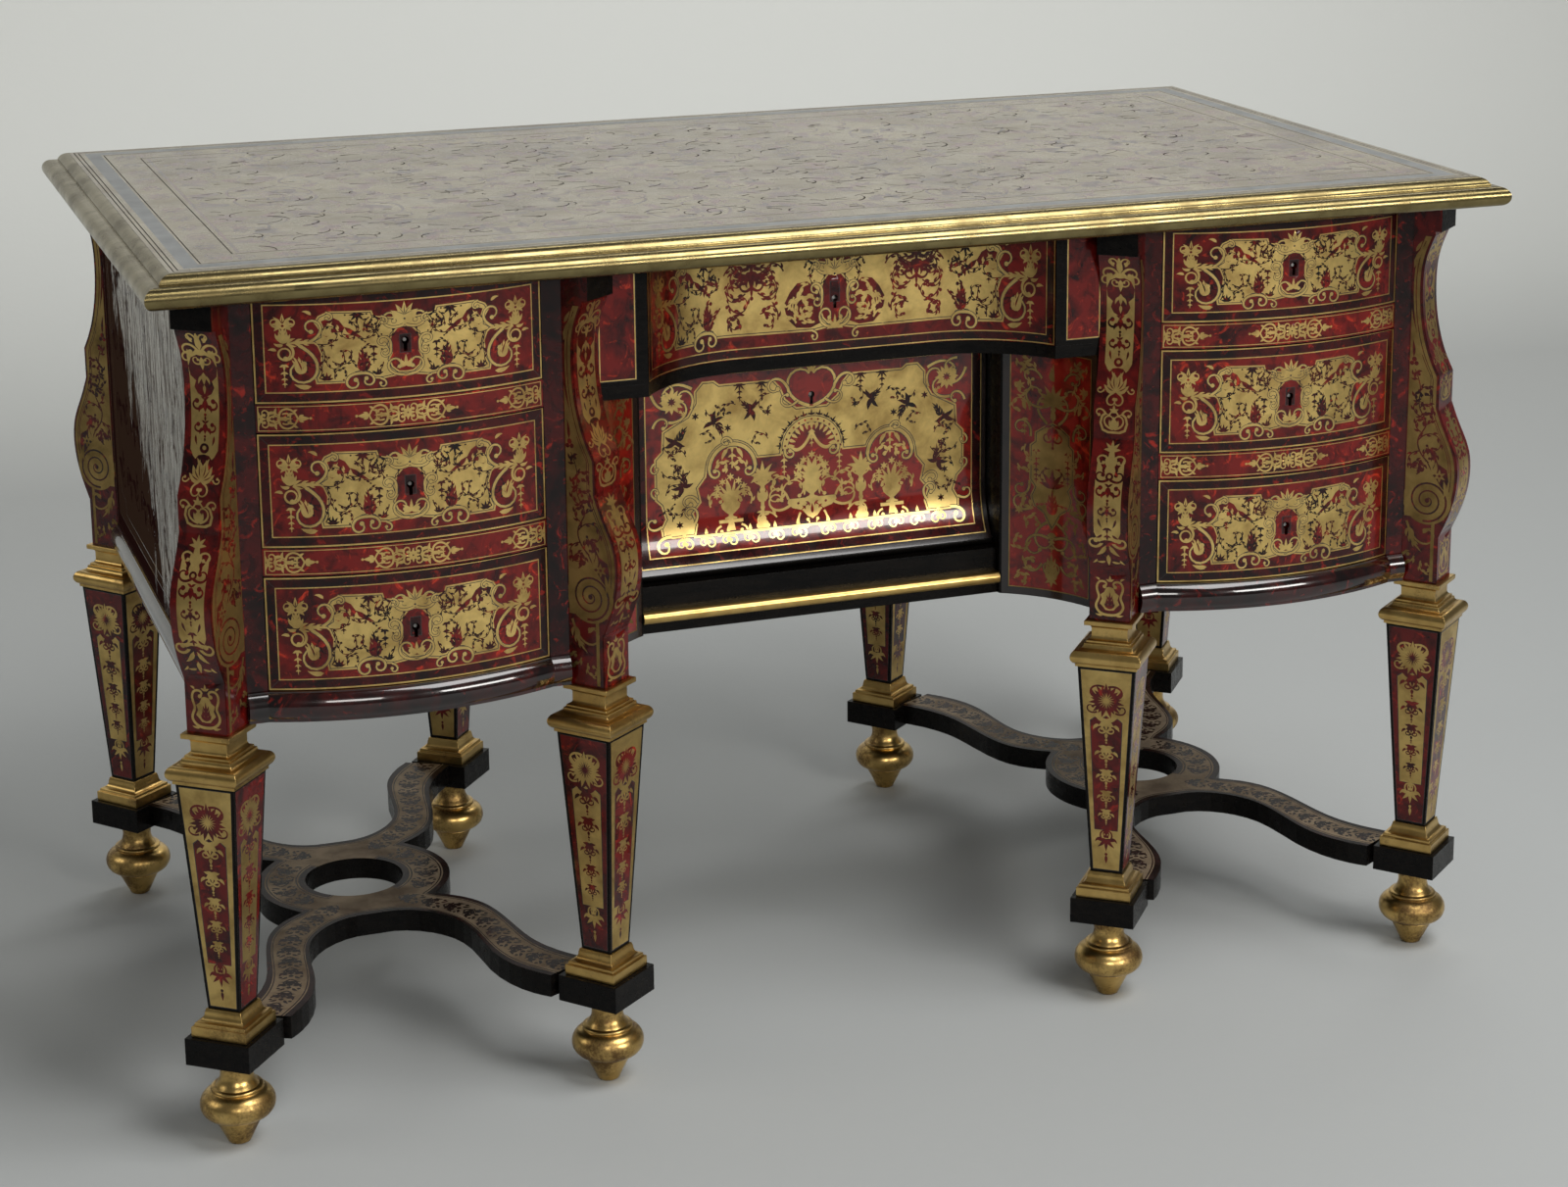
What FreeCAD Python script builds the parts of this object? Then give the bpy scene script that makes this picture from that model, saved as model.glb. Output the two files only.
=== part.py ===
import FreeCAD, Part
import math
import os

# Bureau mazarin in millimetres. Origin under the middle of the desk on the floor,
# X along the front, the front faces -Y, Z up.
V = FreeCAD.Vector

# The two spaces that set the width and depth: the kneehole and the stand under the top
kneehole_width = 501.46
carcass_depth = 595.8

# Storeys of the stand, from the floor up
foot_height = 82.0
block_height = 24.7
leg_base_height = 24.3
leg_height = 211.0
capital_height = 44.0
top_thickness = 27.0

# Plan of a pedestal: four legs, each turned to face out of its corner
leg_offset_x = 169.9
corner_angle = 39.2
console_width = 39.0
console_seat = 18.0
top_overhang_side = 45.0
top_overhang_front = 51.1

# Half widths of the square mouldings and of the leg
block_half = 31.3
leg_foot_half = 15.5
leg_head_half = 28.0
base_plinth_half = 26.8
base_step_half = 24.5
base_neck_half = 17.0
base_plinth_height = 10.0
base_step_height = 3.0
capital_fillet_half = 30.0
capital_torus_half = 34.4
capital_step_half = 23.5
capital_neck_half = 17.5
capital_abacus_half = 23.4
capital_fillet_height = 3.0
capital_torus_height = 13.0
capital_ogee_height = 4.0
capital_step_height = 4.0
capital_cove_height = 4.0
capital_neck_height = 8.0
capital_abacus_height = 4.5

# Turned foot, radii from the floor up
foot_tip_radius = 10.7
foot_cone_radius = 20.8
foot_bulge_radius = 33.2
foot_ring_radius = 23.0
foot_neck_radius = 15.0
foot_tip_round = 3.0
foot_cone_top = 23.0
foot_bulge_level = 38.0
foot_bulge_top = 49.0
foot_ring_height = 4.0
foot_cove_radius = 17.5
foot_cove_rise = 8.0
dowel_radius = 7.0
dowel_length = 15.0
dowel_fit = 0.1

# X stretcher
stretcher_thickness = 21.2
ring_radius = 93.5
ring_hole_radius = 47.6
arch_apex = 95.5
# Edges of one arm, as shares of the leg's offset from the ring centre along X and Y
arm_inner_shares = [(0.15, 0.325), (0.30, 0.375), (0.41, 0.46), (0.465, 0.60), (0.485, 0.73),
                    (0.55, 0.86), (0.70, 0.98)]
arm_outer_shares = [(0.378, 0.228), (0.48, 0.27), (0.585, 0.34), (0.655, 0.45), (0.70, 0.60),
                    (0.745, 0.71), (0.82, 0.80), (0.95, 0.90)]

# Console profile: how far it stands out from its seat
console_die_out = 36.5
console_belly_out = 53.0
console_tablet_out = 31.5
console_waist_out = 11.0
console_lip_out = 22.0
console_cap_out = 28.0
# Heights on the console, as shares of the carcass height
console_die_share = 0.127
console_belly_share = 0.275
console_tablet_low_share = 0.47
console_tablet_high_share = 0.552
console_waist_share = 0.785
console_lip_share = 0.923
console_cap_share = 0.931
# Points between those, as (share of the way up, share of the way out)
belly_rise_shares = [(0.45, 0.62)]
belly_fall_shares = [(0.36, 0.10), (0.72, 0.62)]
waist_fall_shares = [(0.14, 0.30), (0.47, 0.76)]
waist_rise_shares = [(0.55, 0.25)]

# Pedestal carcass
side_thickness = 18.0
back_thickness = 15.0
post_depth = 33.0
dust_board_thickness = 12.0
guide_height = 14.0
bottom_rail_height = 27.0
rail_height = 25.0
low_drawer_height = 102.5
middle_drawer_height = 101.5
high_drawer_height = 96.0
post_face_width = 17.9
drawer_bow = 25.0

# Base moulding of a pedestal
base_mould_out = 8.0
base_mould_fillet = 3.0
base_mould_fillet_out = 4.5
base_mould_top = 2.0

# Drawers
front_edge_thickness = 18.0
side_board_thickness = 9.0
drawer_bottom_thickness = 6.0
drawer_bottom_lift = 3.0
drawer_side_drop = 6.0
drawer_back_clearance = 24.0
front_gap = 0.6
top_gap = 0.8
running_gap = 0.4
fit_gap = 0.2
touch_gap = 0.3

# Locks
keyhole_rise = 50.5
keyhole_radius = 3.4
keyhole_slot = 3.2
keyhole_drop = 9.5
lock_case_width = 62.0
lock_case_depth = 9.0
lock_case_drop = 22.0
selvedge_width = 76.0
selvedge_thickness = 2.0
drill_pin_radius = 1.6
drill_pin_setback = 3.0
bolt_width = 22.0
bolt_thickness = 4.0
bolt_length = 18.0
bolt_throw = 6.0
strike_margin = 1.5

# Top edge moulding
moulding_width = 24.7
moulding_foot_inset = 9.3
moulding_torus_rise = 18.6
moulding_fillet_inset = 14.5
moulding_fillet_height = 1.6
moulding_ogee_inset = 18.0
moulding_ogee_drop = 2.4

# Centre: frieze drawer between end blocks
frieze_end_width = 52.8
frieze_end_setback = 15.9
frieze_recess = 57.0
frieze_sweep = 103.0
frieze_rail_height = 12.0
frieze_drawer_height = 113.0
end_block_depth = 82.0
frieze_front_thickness = 18.0
frieze_guide_thickness = 15.0
centre_back_setback = 22.0
centre_back_thickness = 14.0

# Centre: cupboard in the kneehole
cupboard_inset = 69.8
cupboard_setback = 103.9
concave_reach = 6.2
concave_sagitta = 9.9
concave_thickness = 8.0
cupboard_side_thickness = 12.0
cupboard_bottom_thickness = 10.0
cupboard_bottom_setback = 4.0
fascia_setback = 8.0
fascia_thickness = 18.0
fascia_height = 34.0
half_round_height = 12.0
half_round_out = 8.0

# Fall-front
flap_setback = 34.0
flap_thickness = 16.0
flap_sweep_height = 55.0
flap_sweep_out = 18.0
flap_gap = 1.0
flap_bevel = 1.6
flap_key_drop = 43.0
pivot_radius = 3.0
pivot_running_gap = 0.05
pivot_length = 15.0
pivot_in_side = 7.0
pivot_nose = 6.0

# Flats that stand for the curves of small pieces that repeat
round_flat_count = 12
keyhole_flat_count = 8
bulb_flat_count = 6
cove_flat_count = 2
torus_flat_count = 4

# One overrun for every cut, and how near arcs or straight cuts follow a smooth curve
overrun = 20.0
curve_tolerance = 0.5
sawing_tolerance = 0.3

# Levels that follow from the storeys, and each drawer opening from its floor to its ceiling
block_level = foot_height
base_level = block_level + block_height
leg_level = base_level + leg_base_height
capital_level = leg_level + leg_height
carcass_level = capital_level + capital_height
low_floor = carcass_level + bottom_rail_height
low_ceiling = low_floor + low_drawer_height
middle_floor = low_ceiling + rail_height
middle_ceiling = middle_floor + middle_drawer_height
high_floor = middle_ceiling + rail_height
top_level = high_floor + high_drawer_height
desk_height = top_level + top_thickness
carcass_height = top_level - carcass_level
drawer_levels = {"bottom": (low_floor, low_ceiling), "middle": (middle_floor, middle_ceiling),
                 "top": (high_floor, top_level)}

# Plan that follows from the legs and the canted corners
lean_sin = math.sin(math.radians(corner_angle))
lean_cos = math.cos(math.radians(corner_angle))
console_half = console_width / 2
side_plane = leg_offset_x - console_seat * lean_sin + console_half * lean_cos
front_plane = carcass_depth / 2
leg_offset_y = front_plane + console_seat * lean_cos - console_half * lean_sin
cant_front_u = leg_offset_x - console_seat * lean_sin - console_half * lean_cos
cant_side_v = leg_offset_y - console_seat * lean_cos - console_half * lean_sin
drawer_opening_half = cant_front_u - post_face_width
kneehole_half = kneehole_width / 2
pedestal_offset = kneehole_half + side_plane
carcass_side = pedestal_offset + side_plane
desk_width = 2 * (carcass_side + top_overhang_side)
desk_depth = carcass_depth + 2 * top_overhang_front
post_back = front_plane - post_depth
side_inner = side_plane - side_thickness
front_inner = front_plane - front_edge_thickness

# Bow of the pedestal fronts
bow_radius = (drawer_opening_half ** 2 + drawer_bow ** 2) / (2 * drawer_bow)
bow_centre_v = front_plane + drawer_bow - bow_radius

# Centre plan
frieze_half = kneehole_half - frieze_end_width
frieze_face_y = -front_plane + frieze_end_setback
frieze_flat_y = frieze_face_y + frieze_recess
frieze_flat_half = frieze_half - frieze_sweep
sweep_radius = (frieze_sweep ** 2 + frieze_recess ** 2) / (2 * frieze_recess)
frieze_floor = top_level - frieze_drawer_height
frieze_rail_level = frieze_floor - frieze_rail_height
centre_back_y = front_plane - centre_back_setback
centre_back_face = centre_back_y - centre_back_thickness
cupboard_half = kneehole_half - cupboard_inset
cupboard_front_y = -front_plane + cupboard_setback
flap_face_y = cupboard_front_y + flap_setback
flap_inner_y = flap_face_y + flap_thickness
flap_level = carcass_level + cupboard_bottom_thickness + fascia_height + flap_gap
flap_top = frieze_rail_level - flap_gap
flap_foot_y = flap_face_y - flap_sweep_out
pivot_y = flap_foot_y + pivot_nose
pivot_z = flap_level + pivot_nose

sides = {"left": -1, "right": 1}
corners = [(u_sign, v_sign) for v_sign in (-1, 1) for u_sign in (-1, 1)]


def box(x0, x1, y0, y1, z0, z1):
    """Block between two corners."""
    return Part.makeBox(x1 - x0, y1 - y0, z1 - z0, V(x0, y0, z0))


def prism(points, z0, z1):
    """Upright prism on a plan of straight edges."""
    corners_3d = [V(x, y, z0) for x, y in points]
    wire = Part.makePolygon(corners_3d + corners_3d[:1])
    return Part.Face(wire).extrude(V(0, 0, z1 - z0))


def upright_cylinder(x, y, radius, z0, z1):
    return Part.makeCylinder(radius, z1 - z0, V(x, y, z0))


def line(start, end):
    return Part.LineSegment(start, end).toShape()


def arc(start, middle, end):
    return Part.Arc(start, middle, end).toShape()


def smooth_curve(points):
    """Chain of tangent arcs along a smooth curve through the points."""
    curve = Part.BSplineCurve()
    curve.interpolate(points)
    return [piece.toShape() for piece in curve.toBiArcs(curve_tolerance)]


def sawn_curve(points):
    """The same curve in short straight cuts, each within the sawing tolerance."""
    curve = Part.BSplineCurve()
    curve.interpolate(points)
    stops = curve.toShape().discretize(Deflection=sawing_tolerance)
    return [line(start, end) for start, end in zip(stops, stops[1:])]


def short_flats(start, middle, end, flat_count):
    """Points along the arc from start through middle, its start left out, for a curve made in flats."""
    points = Part.Arc(*[V(x, 0, z) for x, z in (start, middle, end)]).toShape().discretize(flat_count + 1)
    return [(point.x, point.z) for point in points[1:]]


def faceted(profile, sides):
    """Solid turned round the Z axis in flats. The profile gives half the width across flats and the level."""
    half_turn = math.pi / sides
    rings = []
    for half_width, level in profile:
        reach = half_width / math.cos(half_turn)
        angles = [half_turn * (2 * index + 1) for index in range(sides)]
        rings.append([V(reach * math.cos(angle), reach * math.sin(angle), level) for angle in angles])
    flats = [plane_face(rings[0][::-1]), plane_face(rings[-1])]
    for low, high in zip(rings, rings[1:]):
        for index in range(sides):
            after = (index + 1) % sides
            flats.append(plane_face([low[index], low[after], high[after], high[index]]))
    shell = Part.Shell(flats)
    shell.sewShape()
    return Part.Solid(shell)


def plane_face(points):
    return Part.Face(Part.makePolygon(points + points[:1]))


def face(edges):
    return Part.Face(Part.Wire(Part.__sortEdges__(edges)))


def chain(points, bulges):
    """Closed outline in the XZ plane. bulges gives, for the edge that starts at a point, its middle."""
    edges = []
    for index, start in enumerate(points):
        end = points[(index + 1) % len(points)]
        start_3d, end_3d = V(start[0], 0, start[1]), V(end[0], 0, end[1])
        if index in bulges:
            middle = bulges[index]
            edges.append(arc(start_3d, V(middle[0], 0, middle[1]), end_3d))
        else:
            edges.append(line(start_3d, end_3d))
    return face(edges)


def between(low, high, share):
    return low + (high - low) * share


def turned(shape, angle, spot):
    """Copy turned about the Z axis, then moved."""
    placed = shape.copy()
    placed.rotate(V(0, 0, 0), V(0, 0, 1), angle)
    placed.translate(spot)
    return placed


def moved(shape, spot):
    placed = shape.copy()
    placed.translate(spot)
    return placed


def mirrored(shape):
    """The same piece on the other side of the desk."""
    return shape.mirror(V(0, 0, 0), V(1, 0, 0))


def leg_spots():
    """Centre of each leg and the angle of its outward direction."""
    for side in sides.values():
        for u_sign, v_sign in corners:
            centre = V(side * pedestal_offset + u_sign * leg_offset_x, v_sign * leg_offset_y, 0)
            yield centre, math.degrees(math.atan2(v_sign * lean_cos, u_sign * lean_sin))


def at_every_leg(shape):
    return [turned(shape, angle, centre) for centre, angle in leg_spots()]


def foot():
    """Turned foot: tapered tip, bulb, ring, cove and the dowel on top, in flats because it repeats."""
    cone_top = (foot_cone_radius, foot_cone_top)
    bulge_top = (foot_ring_radius, foot_bulge_top)
    ring_top = foot_bulge_top + foot_ring_height
    cove_start = (foot_ring_radius - foot_ring_height, ring_top)
    cove_middle = (foot_cove_radius - foot_ring_height / 2, ring_top + foot_cove_rise)
    profile = [(foot_tip_radius - foot_tip_round, 0), (foot_tip_radius, foot_tip_round), cone_top]
    profile += short_flats(cone_top, (foot_bulge_radius, foot_bulge_level), bulge_top, bulb_flat_count)
    profile += [(foot_ring_radius, ring_top), cove_start]
    profile += short_flats(cove_start, cove_middle, (foot_neck_radius, foot_height), cove_flat_count)
    profile += [(dowel_radius, foot_height), (dowel_radius, foot_height + dowel_length)]
    return faceted(profile, round_flat_count)


def stretcher_block():
    """Square block at the foot of a leg, bored for the foot's dowel."""
    block = box(-block_half, block_half, -block_half, block_half, block_level, base_level)
    bore_radius = dowel_radius + dowel_fit
    bore_top = block_level + dowel_length + touch_gap
    bore = faceted([(bore_radius, block_level - overrun), (bore_radius, bore_top)], round_flat_count)
    return block.cut(bore)


def leg_base():
    """Gilt base: plinth, step and an ogee that draws in to the leg."""
    plinth_top = base_level + base_plinth_height
    step_top = plinth_top + base_step_height
    ogee_start = (base_step_half, step_top)
    middle = (between(base_step_half, base_neck_half, 0.8), between(step_top, leg_level, 0.4))
    profile = [(base_plinth_half, base_level), (base_plinth_half, plinth_top), (base_step_half, plinth_top),
               ogee_start] + short_flats(ogee_start, middle, (base_neck_half, leg_level), torus_flat_count)
    return faceted(profile, 4)


def tapered_leg():
    return faceted([(leg_foot_half, leg_level), (leg_head_half, capital_level)], 4)


def capital():
    """Gilt capital: fillet, torus, ogee, step, cove, neck, cove and abacus."""
    torus_low = capital_level + capital_fillet_height
    torus_high = torus_low + capital_torus_height
    step_low = torus_high + capital_ogee_height
    step_high = step_low + capital_step_height
    neck_low = step_high + capital_cove_height
    neck_high = neck_low + capital_neck_height
    abacus_low = carcass_level - capital_abacus_height
    shoulder = between(capital_fillet_half, capital_torus_half, 0.25)
    torus_middle = (capital_torus_half, between(torus_low, torus_high, 0.5))
    ogee_middle = (between(shoulder, capital_step_half, 0.72), between(torus_high, step_low, 0.35))
    cove_in = (between(capital_step_half, capital_neck_half, 0.75), between(step_high, neck_low, 0.3))
    cove_out = (between(capital_neck_half, capital_abacus_half, 0.25), between(neck_high, abacus_low, 0.7))
    profile = [(capital_fillet_half, capital_level), (capital_fillet_half, torus_low), (shoulder, torus_low)]
    curves = [((shoulder, torus_low), torus_middle, (shoulder, torus_high), torus_flat_count),
              ((shoulder, torus_high), ogee_middle, (capital_step_half, step_low), cove_flat_count),
              ((capital_step_half, step_high), cove_in, (capital_neck_half, neck_low), cove_flat_count),
              ((capital_neck_half, neck_high), cove_out, (capital_abacus_half, abacus_low), cove_flat_count)]
    for start, middle, end, flats in curves:
        if profile[-1] != start:
            profile.append(start)
        profile += short_flats(start, middle, end, flats)
    return faceted(profile + [(capital_abacus_half, carcass_level)], 4)


def curve_points(start, end, shares):
    """Points from start to end, each given by its share of the way up and of the way out."""
    inner = [(between(start[0], end[0], out), between(start[1], end[1], up)) for up, out in shares]
    return [start] + inner + [end]


def console():
    """S-shaped bracket with its die, seen from the side; out is away from the canted corner."""
    def spot(out, share):
        return out - console_seat, carcass_level + share * carcass_height

    die = spot(console_die_out, console_die_share)
    belly = spot(console_belly_out, console_belly_share)
    tablet_low = spot(console_tablet_out, console_tablet_low_share)
    tablet_high = spot(console_tablet_out, console_tablet_high_share)
    waist = spot(console_waist_out, console_waist_share)
    lip = spot(console_lip_out, console_lip_share)
    lower = curve_points(die, belly, belly_rise_shares)
    lower += curve_points(belly, tablet_low, belly_fall_shares)[1:]
    upper = curve_points(tablet_high, waist, waist_fall_shares)
    upper += curve_points(waist, lip, waist_rise_shares)[1:]
    cap_low = spot(console_cap_out, console_cap_share)
    heel = V(-console_seat, 0, carcass_level)
    top = V(-console_seat, 0, top_level)
    corner = {name: V(out, 0, level) for name, (out, level) in
              {"die": die, "tablet_low": tablet_low, "tablet_high": tablet_high, "lip": lip,
               "cap": cap_low}.items()}
    die_foot = V(die[0], 0, carcass_level)
    cap_foot = V(lip[0], 0, cap_low[1])
    cap_top = V(cap_low[0], 0, top_level)
    edges = [line(heel, die_foot), line(die_foot, corner["die"]),
             line(corner["tablet_low"], corner["tablet_high"]), line(corner["lip"], cap_foot),
             line(cap_foot, corner["cap"]), line(corner["cap"], cap_top), line(cap_top, top),
             line(top, heel)]
    for curve in (lower, upper):
        edges += smooth_curve([V(x, 0, z) for x, z in curve])
    bracket = face(edges).extrude(V(0, console_width, 0))
    bracket.translate(V(0, -console_half, 0))
    return bracket


def console_room(centre, angle):
    """Space that a console takes, with clearance, to cut its neighbours back."""
    half = console_half + touch_gap
    room = box(-console_seat - touch_gap, console_belly_out, -half, half, carcass_level - overrun,
               desk_height + overrun)
    return turned(room, angle, centre)


def inner_rooms():
    """Room of the consoles on the four legs that stand beside the kneehole."""
    return [console_room(centre, angle) for centre, angle in leg_spots() if abs(centre.x) < pedestal_offset]


def arm_points(shares):
    return [V(u * leg_offset_x, v * leg_offset_y, 0) for u, v in shares]


def stretcher_arm():
    """One arm of the X in the quarter with positive X and Y: two wavy edges from ring to block."""
    inner = [V(0, arch_apex, 0)] + arm_points(arm_inner_shares)
    outer = arm_points(arm_outer_shares)
    ends = [line(V(0, 0, 0), inner[0]), line(V(0, 0, 0), outer[0]), line(inner[-1], outer[-1])]
    return face(sawn_curve(inner) + sawn_curve(outer) + ends)


def stretcher(side):
    """X stretcher with a pierced ring, let in between its four blocks."""
    quarter = stretcher_arm()
    half = quarter.fuse(quarter.mirror(V(0, 0, 0), V(1, 0, 0)))
    plan = half.fuse(half.mirror(V(0, 0, 0), V(0, 1, 0)))
    low = base_level - stretcher_thickness
    plate = plan.extrude(V(0, 0, stretcher_thickness))
    plate.translate(V(0, 0, low))
    ring = upright_cylinder(0, 0, ring_radius, low, base_level)
    hole = upright_cylinder(0, 0, ring_hole_radius, low - overrun, base_level + overrun)
    whole = plate.fuse(ring).cut(hole).removeSplitter()
    centre = V(side * pedestal_offset, 0, 0)
    reach = box(-block_half, block_half, -block_half, block_half, low - overrun, base_level + overrun)
    whole.translate(centre)
    blocks = [turned(reach, angle, spot) for spot, angle in leg_spots() if spot.x * side > 0]
    return whole.cut(blocks)


def corner_posts(side):
    """Four posts with a canted face for the console."""
    outline = [(side_plane, cant_side_v), (cant_front_u, front_plane), (drawer_opening_half, front_plane),
               (drawer_opening_half, post_back), (side_plane, post_back)]
    posts = []
    for u_sign, v_sign in corners:
        plan = [(side * pedestal_offset + u_sign * u, v_sign * v) for u, v in outline]
        posts.append(prism(plan, carcass_level, top_level))
    return posts


def side_panels(side):
    """Outer and inner side of a pedestal, between its posts."""
    panels = []
    for u_sign in (-1, 1):
        centre = side * pedestal_offset
        edges = sorted((centre + u_sign * side_inner, centre + u_sign * side_plane))
        panels.append(box(edges[0], edges[1], -post_back, post_back, carcass_level, top_level))
    return panels


def back_panels():
    """Backs of the two pedestals and of the centre."""
    backs = []
    reach = drawer_opening_half - fit_gap
    for side in sides.values():
        centre = side * pedestal_offset
        backs.append(box(centre - reach, centre + reach, front_plane - back_thickness, front_plane,
                         carcass_level, top_level))
    centre_reach = kneehole_half - fit_gap
    centre_back = box(-centre_reach, centre_reach, centre_back_face, centre_back_y, carcass_level, top_level)
    return backs + [centre_back.cut(inner_rooms())]


def bow_slab(z0, z1, half_width, inner_v):
    """Board with the pedestal's bowed front, flat behind, on the pedestal's own centre."""
    disc = upright_cylinder(0, -bow_centre_v, bow_radius, z0, z1)
    return disc.common(box(-half_width, half_width, -front_plane - drawer_bow - overrun, -inner_v, z0, z1))


def bolt_y():
    """How far a lock's bolt lies in front of the inner face that the lock is let into."""
    return lock_case_depth / 2


def strike(x, y, level):
    """Mortise above a bolt."""
    half_w = bolt_width / 2 + strike_margin
    half_t = bolt_thickness / 2 + strike_margin
    return box(x - half_w, x + half_w, y - half_t, y + half_t, level - overrun,
               level + bolt_throw + strike_margin)


def front_rails(side):
    """Bottom rail and the two rails between the drawers, with the mortises for the bolts."""
    reach = drawer_opening_half - fit_gap
    bolt_line = -front_inner - bolt_y()
    rails = [bow_slab(carcass_level, low_floor, reach, post_back)]
    for level in (low_ceiling, middle_ceiling):
        rail = bow_slab(level, level + rail_height, reach, post_back)
        rails.append(rail.cut(strike(0, bolt_line, level)))
    return [moved(rail, V(side * pedestal_offset, 0, 0)) for rail in rails]


def dust_boards(side):
    """Boards behind the rails that the drawers run on."""
    centre = side * pedestal_offset
    reach = side_inner - fit_gap
    boards = []
    for floor, ceiling in drawer_levels.values():
        boards.append(box(centre - reach, centre + reach, -post_back + fit_gap, post_back - fit_gap,
                          floor - dust_board_thickness, floor))
    return boards


def drawer_guides():
    """Strips beside each drawer, and the two partitions beside the frieze drawer."""
    strips = []
    for side in sides.values():
        for floor, ceiling in drawer_levels.values():
            for u_sign in (-1, 1):
                centre = side * pedestal_offset
                edges = sorted((centre + u_sign * drawer_opening_half,
                                centre + u_sign * (side_inner - fit_gap)))
                strips.append(box(edges[0], edges[1], -post_back + fit_gap, post_back - fit_gap, floor,
                                  floor + guide_height))
    start = frieze_face_y + end_block_depth
    end = centre_back_face
    for side in sides.values():
        edges = sorted((side * frieze_half, side * (frieze_half + frieze_guide_thickness)))
        strips.append(box(edges[0], edges[1], start, end, frieze_floor, top_level))
    return strips


def base_section(inner):
    """Section of the base moulding, its torus in flats, standing out from the plane at inner."""
    top = carcass_level + bottom_rail_height
    fillet_top = carcass_level + base_mould_fillet
    torus_top = top - base_mould_top
    foot_out = inner + base_mould_fillet_out
    rim_out = inner + base_mould_top
    swell = (inner + base_mould_out, between(fillet_top, torus_top, 0.45))
    torus = short_flats((foot_out, fillet_top), swell, (rim_out, torus_top), torus_flat_count)
    points = [(inner, carcass_level), (foot_out, carcass_level), (foot_out, fillet_top)] + torus
    return chain(points + [(rim_out, top), (inner, top)], {})


def base_mouldings(side):
    """Bowed length under the drawers, its two returns on the posts and the length on the outer side."""
    half = drawer_opening_half
    reach = drawer_bow + overrun
    lean = reach * math.tan(math.asin(half / bow_radius) / 2)
    span = [(-half, -front_plane + overrun), (half, -front_plane + overrun), (half, -front_plane),
            (half + lean, -front_plane - reach), (-half - lean, -front_plane - reach), (-half, -front_plane)]
    wedge = prism(span, carcass_level - overrun, low_floor + overrun)
    ring = base_section(bow_radius + fit_gap).revolve(V(0, 0, 0), V(0, 0, 1), 360)
    ring.translate(V(0, -bow_centre_v, 0))
    bowed = ring.common(wedge)
    straight = base_section(0)
    front_run = turned(straight.extrude(V(0, 2 * side_plane, 0)), -90, V(-side_plane, -front_plane, 0))
    returns = []
    for u_sign in (-1, 1):
        edges = sorted((u_sign * (drawer_opening_half - overrun), u_sign * cant_front_u))
        cover = box(edges[0], edges[1], -front_plane - overrun, -front_plane, carcass_level, low_floor)
        returns.append(front_run.common(cover).cut(wedge))
    pieces = [moved(piece, V(side * pedestal_offset, 0, 0)) for piece in [bowed] + returns]
    side_run = straight.extrude(V(0, 2 * cant_side_v, 0))
    side_run.translate(V(carcass_side, -cant_side_v, 0))
    pieces.append(side_run if side > 0 else mirrored(side_run))
    return [cut_to_consoles(piece) for piece in pieces]


def cut_to_consoles(piece):
    for centre, angle in leg_spots():
        piece = piece.cut(console_room(centre, angle))
    return piece


def top_panel():
    """Top board, with the mortises for the bolts of the drawers under it."""
    half_x = desk_width / 2 - moulding_width
    half_y = desk_depth / 2 - moulding_width
    board = box(-half_x, half_x, -half_y, half_y, top_level, desk_height)
    pedestal_bolt = -front_inner - bolt_y()
    frieze_bolt = frieze_flat_y + frieze_front_thickness - bolt_y()
    strikes = [strike(side * pedestal_offset, pedestal_bolt, top_level) for side in sides.values()]
    strikes.append(strike(0, frieze_bolt, top_level))
    return board.cut(strikes)


def moulding_section():
    """Section of the top's edge: inset from the edge against height."""
    torus_top = top_level + moulding_torus_rise
    fillet_top = torus_top + moulding_fillet_height
    points = [(moulding_width, top_level), (moulding_foot_inset, top_level),
              (moulding_foot_inset, torus_top), (moulding_fillet_inset, torus_top),
              (moulding_fillet_inset, fillet_top), (moulding_width, desk_height)]
    torus_middle = (0, top_level + moulding_torus_rise / 2)
    ogee_middle = (moulding_ogee_inset, desk_height - moulding_ogee_drop)
    return chain(points, {1: torus_middle, 4: ogee_middle})


def top_edge_moulding():
    """Four lengths, mitred at the corners of the top."""
    lengths = []
    for quarter in range(4):
        half_run, half_across = (desk_width / 2, desk_depth / 2)[::1 if quarter % 2 == 0 else -1]
        run = moulding_section().extrude(V(0, 2 * half_run, 0))
        run = turned(run, 90, V(half_run, -half_across, 0))
        mitre = [(-half_run, -half_across), (half_run, -half_across),
                 (half_run - moulding_width, -half_across + moulding_width),
                 (-half_run + moulding_width, -half_across + moulding_width)]
        length = run.common(prism(mitre, top_level, desk_height))
        lengths.append(turned(length, quarter * 90, V(0, 0, 0)))
    return lengths


def forward_rod(radius, length, start_y):
    """Small round rod or bore, in flats, that runs towards the front."""
    rod = faceted([(radius, 0), (radius, length)], keyhole_flat_count)
    rod.rotate(V(0, 0, 0), V(1, 0, 0), 90)
    return moved(rod, V(0, start_y, 0))


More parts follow.
